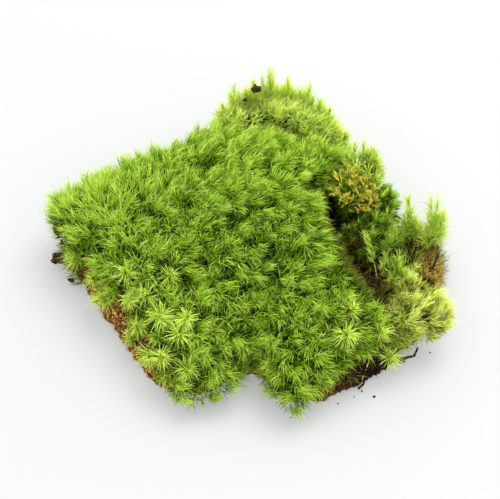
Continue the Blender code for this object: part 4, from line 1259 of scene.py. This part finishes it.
# A single shoot that leans out of the gully, with a bare pale stem and leaves at its top only, and
# an old bare stem that hangs down at the front.

SPRIG_PATH = [(58.7, -16.6, 12.5), (57.0, -11.5, 18.5), (54.0, -8.5, 26.0), (51.5, -7.0, 33.0)]
# The hanging stem passes over the duff and ends beside the twig's stub
HANGING_STEM = [
    (49.6, -65.9, 3.5), (50.0, -65.2, 6.0), (51.0, -63.8, 8.5), (52.2, -61.8, 11.0), (53.6, -58.6, 13.5)
]
straw = earth_finish("straw", [(120, 104, 50), (176, 160, 92), (214, 204, 140)], 2.0 * MM, 0.2, 0.6)
sprig_stem = stick("sprig_stem", SPRIG_PATH, 0.8, 60, straw, thin_end=0.5)
hanging_stem = stick("hanging_stem", HANGING_STEM, 0.5, 61, straw, thin_end=0.8)
sprig_low, sprig_high = np.array(SPRIG_PATH[1]) * MM, np.array(SPRIG_PATH[-1]) * MM
sprig_shoot = {
    "foot": sprig_low[None],
    "tip": sprig_high[None] + (0, 0, 3 * MM),
    "axis": unit(sprig_high - sprig_low)[None],
}
# A row as in the table of the turf's growth, without x and y
sprig_growth = np.array([[-0.1, 0.3, 0.6, 7.0, 0.8, 0]])
sprig_leaves = leaves_on(sprig_shoot, sprig_growth, 409, count=46, sunk=0)
sprig = blades("sprig_leaves", sprig_leaves, light_broom_moss)
settle_in([sprig_stem, sprig, hanging_stem])


# The floor, the light and the camera. The clump lies on a plain white surface under soft light
# from all around, a little stronger from above and behind on the right.

FLOOR_HALF = 6  # metres
floor_finish, floor_shader = new_finish("floor")
feed(floor_shader, {
    "Base Color": (0.22, 0.223, 0.22, 1),
    "Emission Color": (1, 1, 1, 1),
    "Emission Strength": 0.31,
    "Roughness": 0.7,
})
floor_corners = [(x * FLOOR_HALF, y * FLOOR_HALF, 0) for x, y in ((-1, -1), (1, -1), (1, 1), (-1, 1))]
floor_mesh = bpy.data.meshes.new("floor")
floor_mesh.from_pydata(floor_corners, [], [(0, 1, 2, 3)])
floor_mesh.materials.append(floor_finish)
floor = bpy.data.objects.new("floor", floor_mesh)
bpy.context.scene.collection.objects.link(floor)

world = bpy.data.worlds.new("studio")
world.use_nodes = True
feed(world.node_tree.nodes["Background"], {"Color": (0.98, 1.0, 1.0, 1), "Strength": 2.1})
bpy.context.scene.world = world


def looking(place, target):
    """The matrix of something at that place that looks along its own -Z at the target."""
    away = unit(np.subtract(place, target))
    right = unit(np.cross((0, 0, 1), away))
    turned = np.eye(4)
    turned[:3, 0], turned[:3, 1], turned[:3, 2] = right, np.cross(away, right), away
    turned[:3, 3] = place
    return turned.T.tolist()


# A square lamp that looks at the middle of the clump
key_light = bpy.data.lights.new("key", "AREA")
key_light.size = 1.0
key_light.energy = 22
key = bpy.data.objects.new("key", key_light)
bpy.context.scene.collection.objects.link(key)
key.matrix_world = looking((0.5, 0.6, 1.4), (0, 0, 0.02))

ELEVATION = math.radians(50)
DISTANCE = 0.70
VIEW_TARGET = np.array([0, 0, 0.015])
PIXEL = 0.000465  # what one pixel of the photo shows at the target
PHOTO_WIDTH = 500  # pixels
SENSOR_WIDTH = 36  # millimetres

camera = bpy.data.objects.new("camera", bpy.data.cameras.new("camera"))
bpy.context.scene.collection.objects.link(camera)
camera.data.sensor_width = SENSOR_WIDTH
camera.data.lens = SENSOR_WIDTH * (DISTANCE / PIXEL) / PHOTO_WIDTH
eye = VIEW_TARGET - DISTANCE * np.array([0, math.cos(ELEVATION), -math.sin(ELEVATION)])
camera.matrix_world = looking(eye, VIEW_TARGET)
bpy.context.scene.camera = camera
bpy.context.scene.view_settings.view_transform = "Standard"
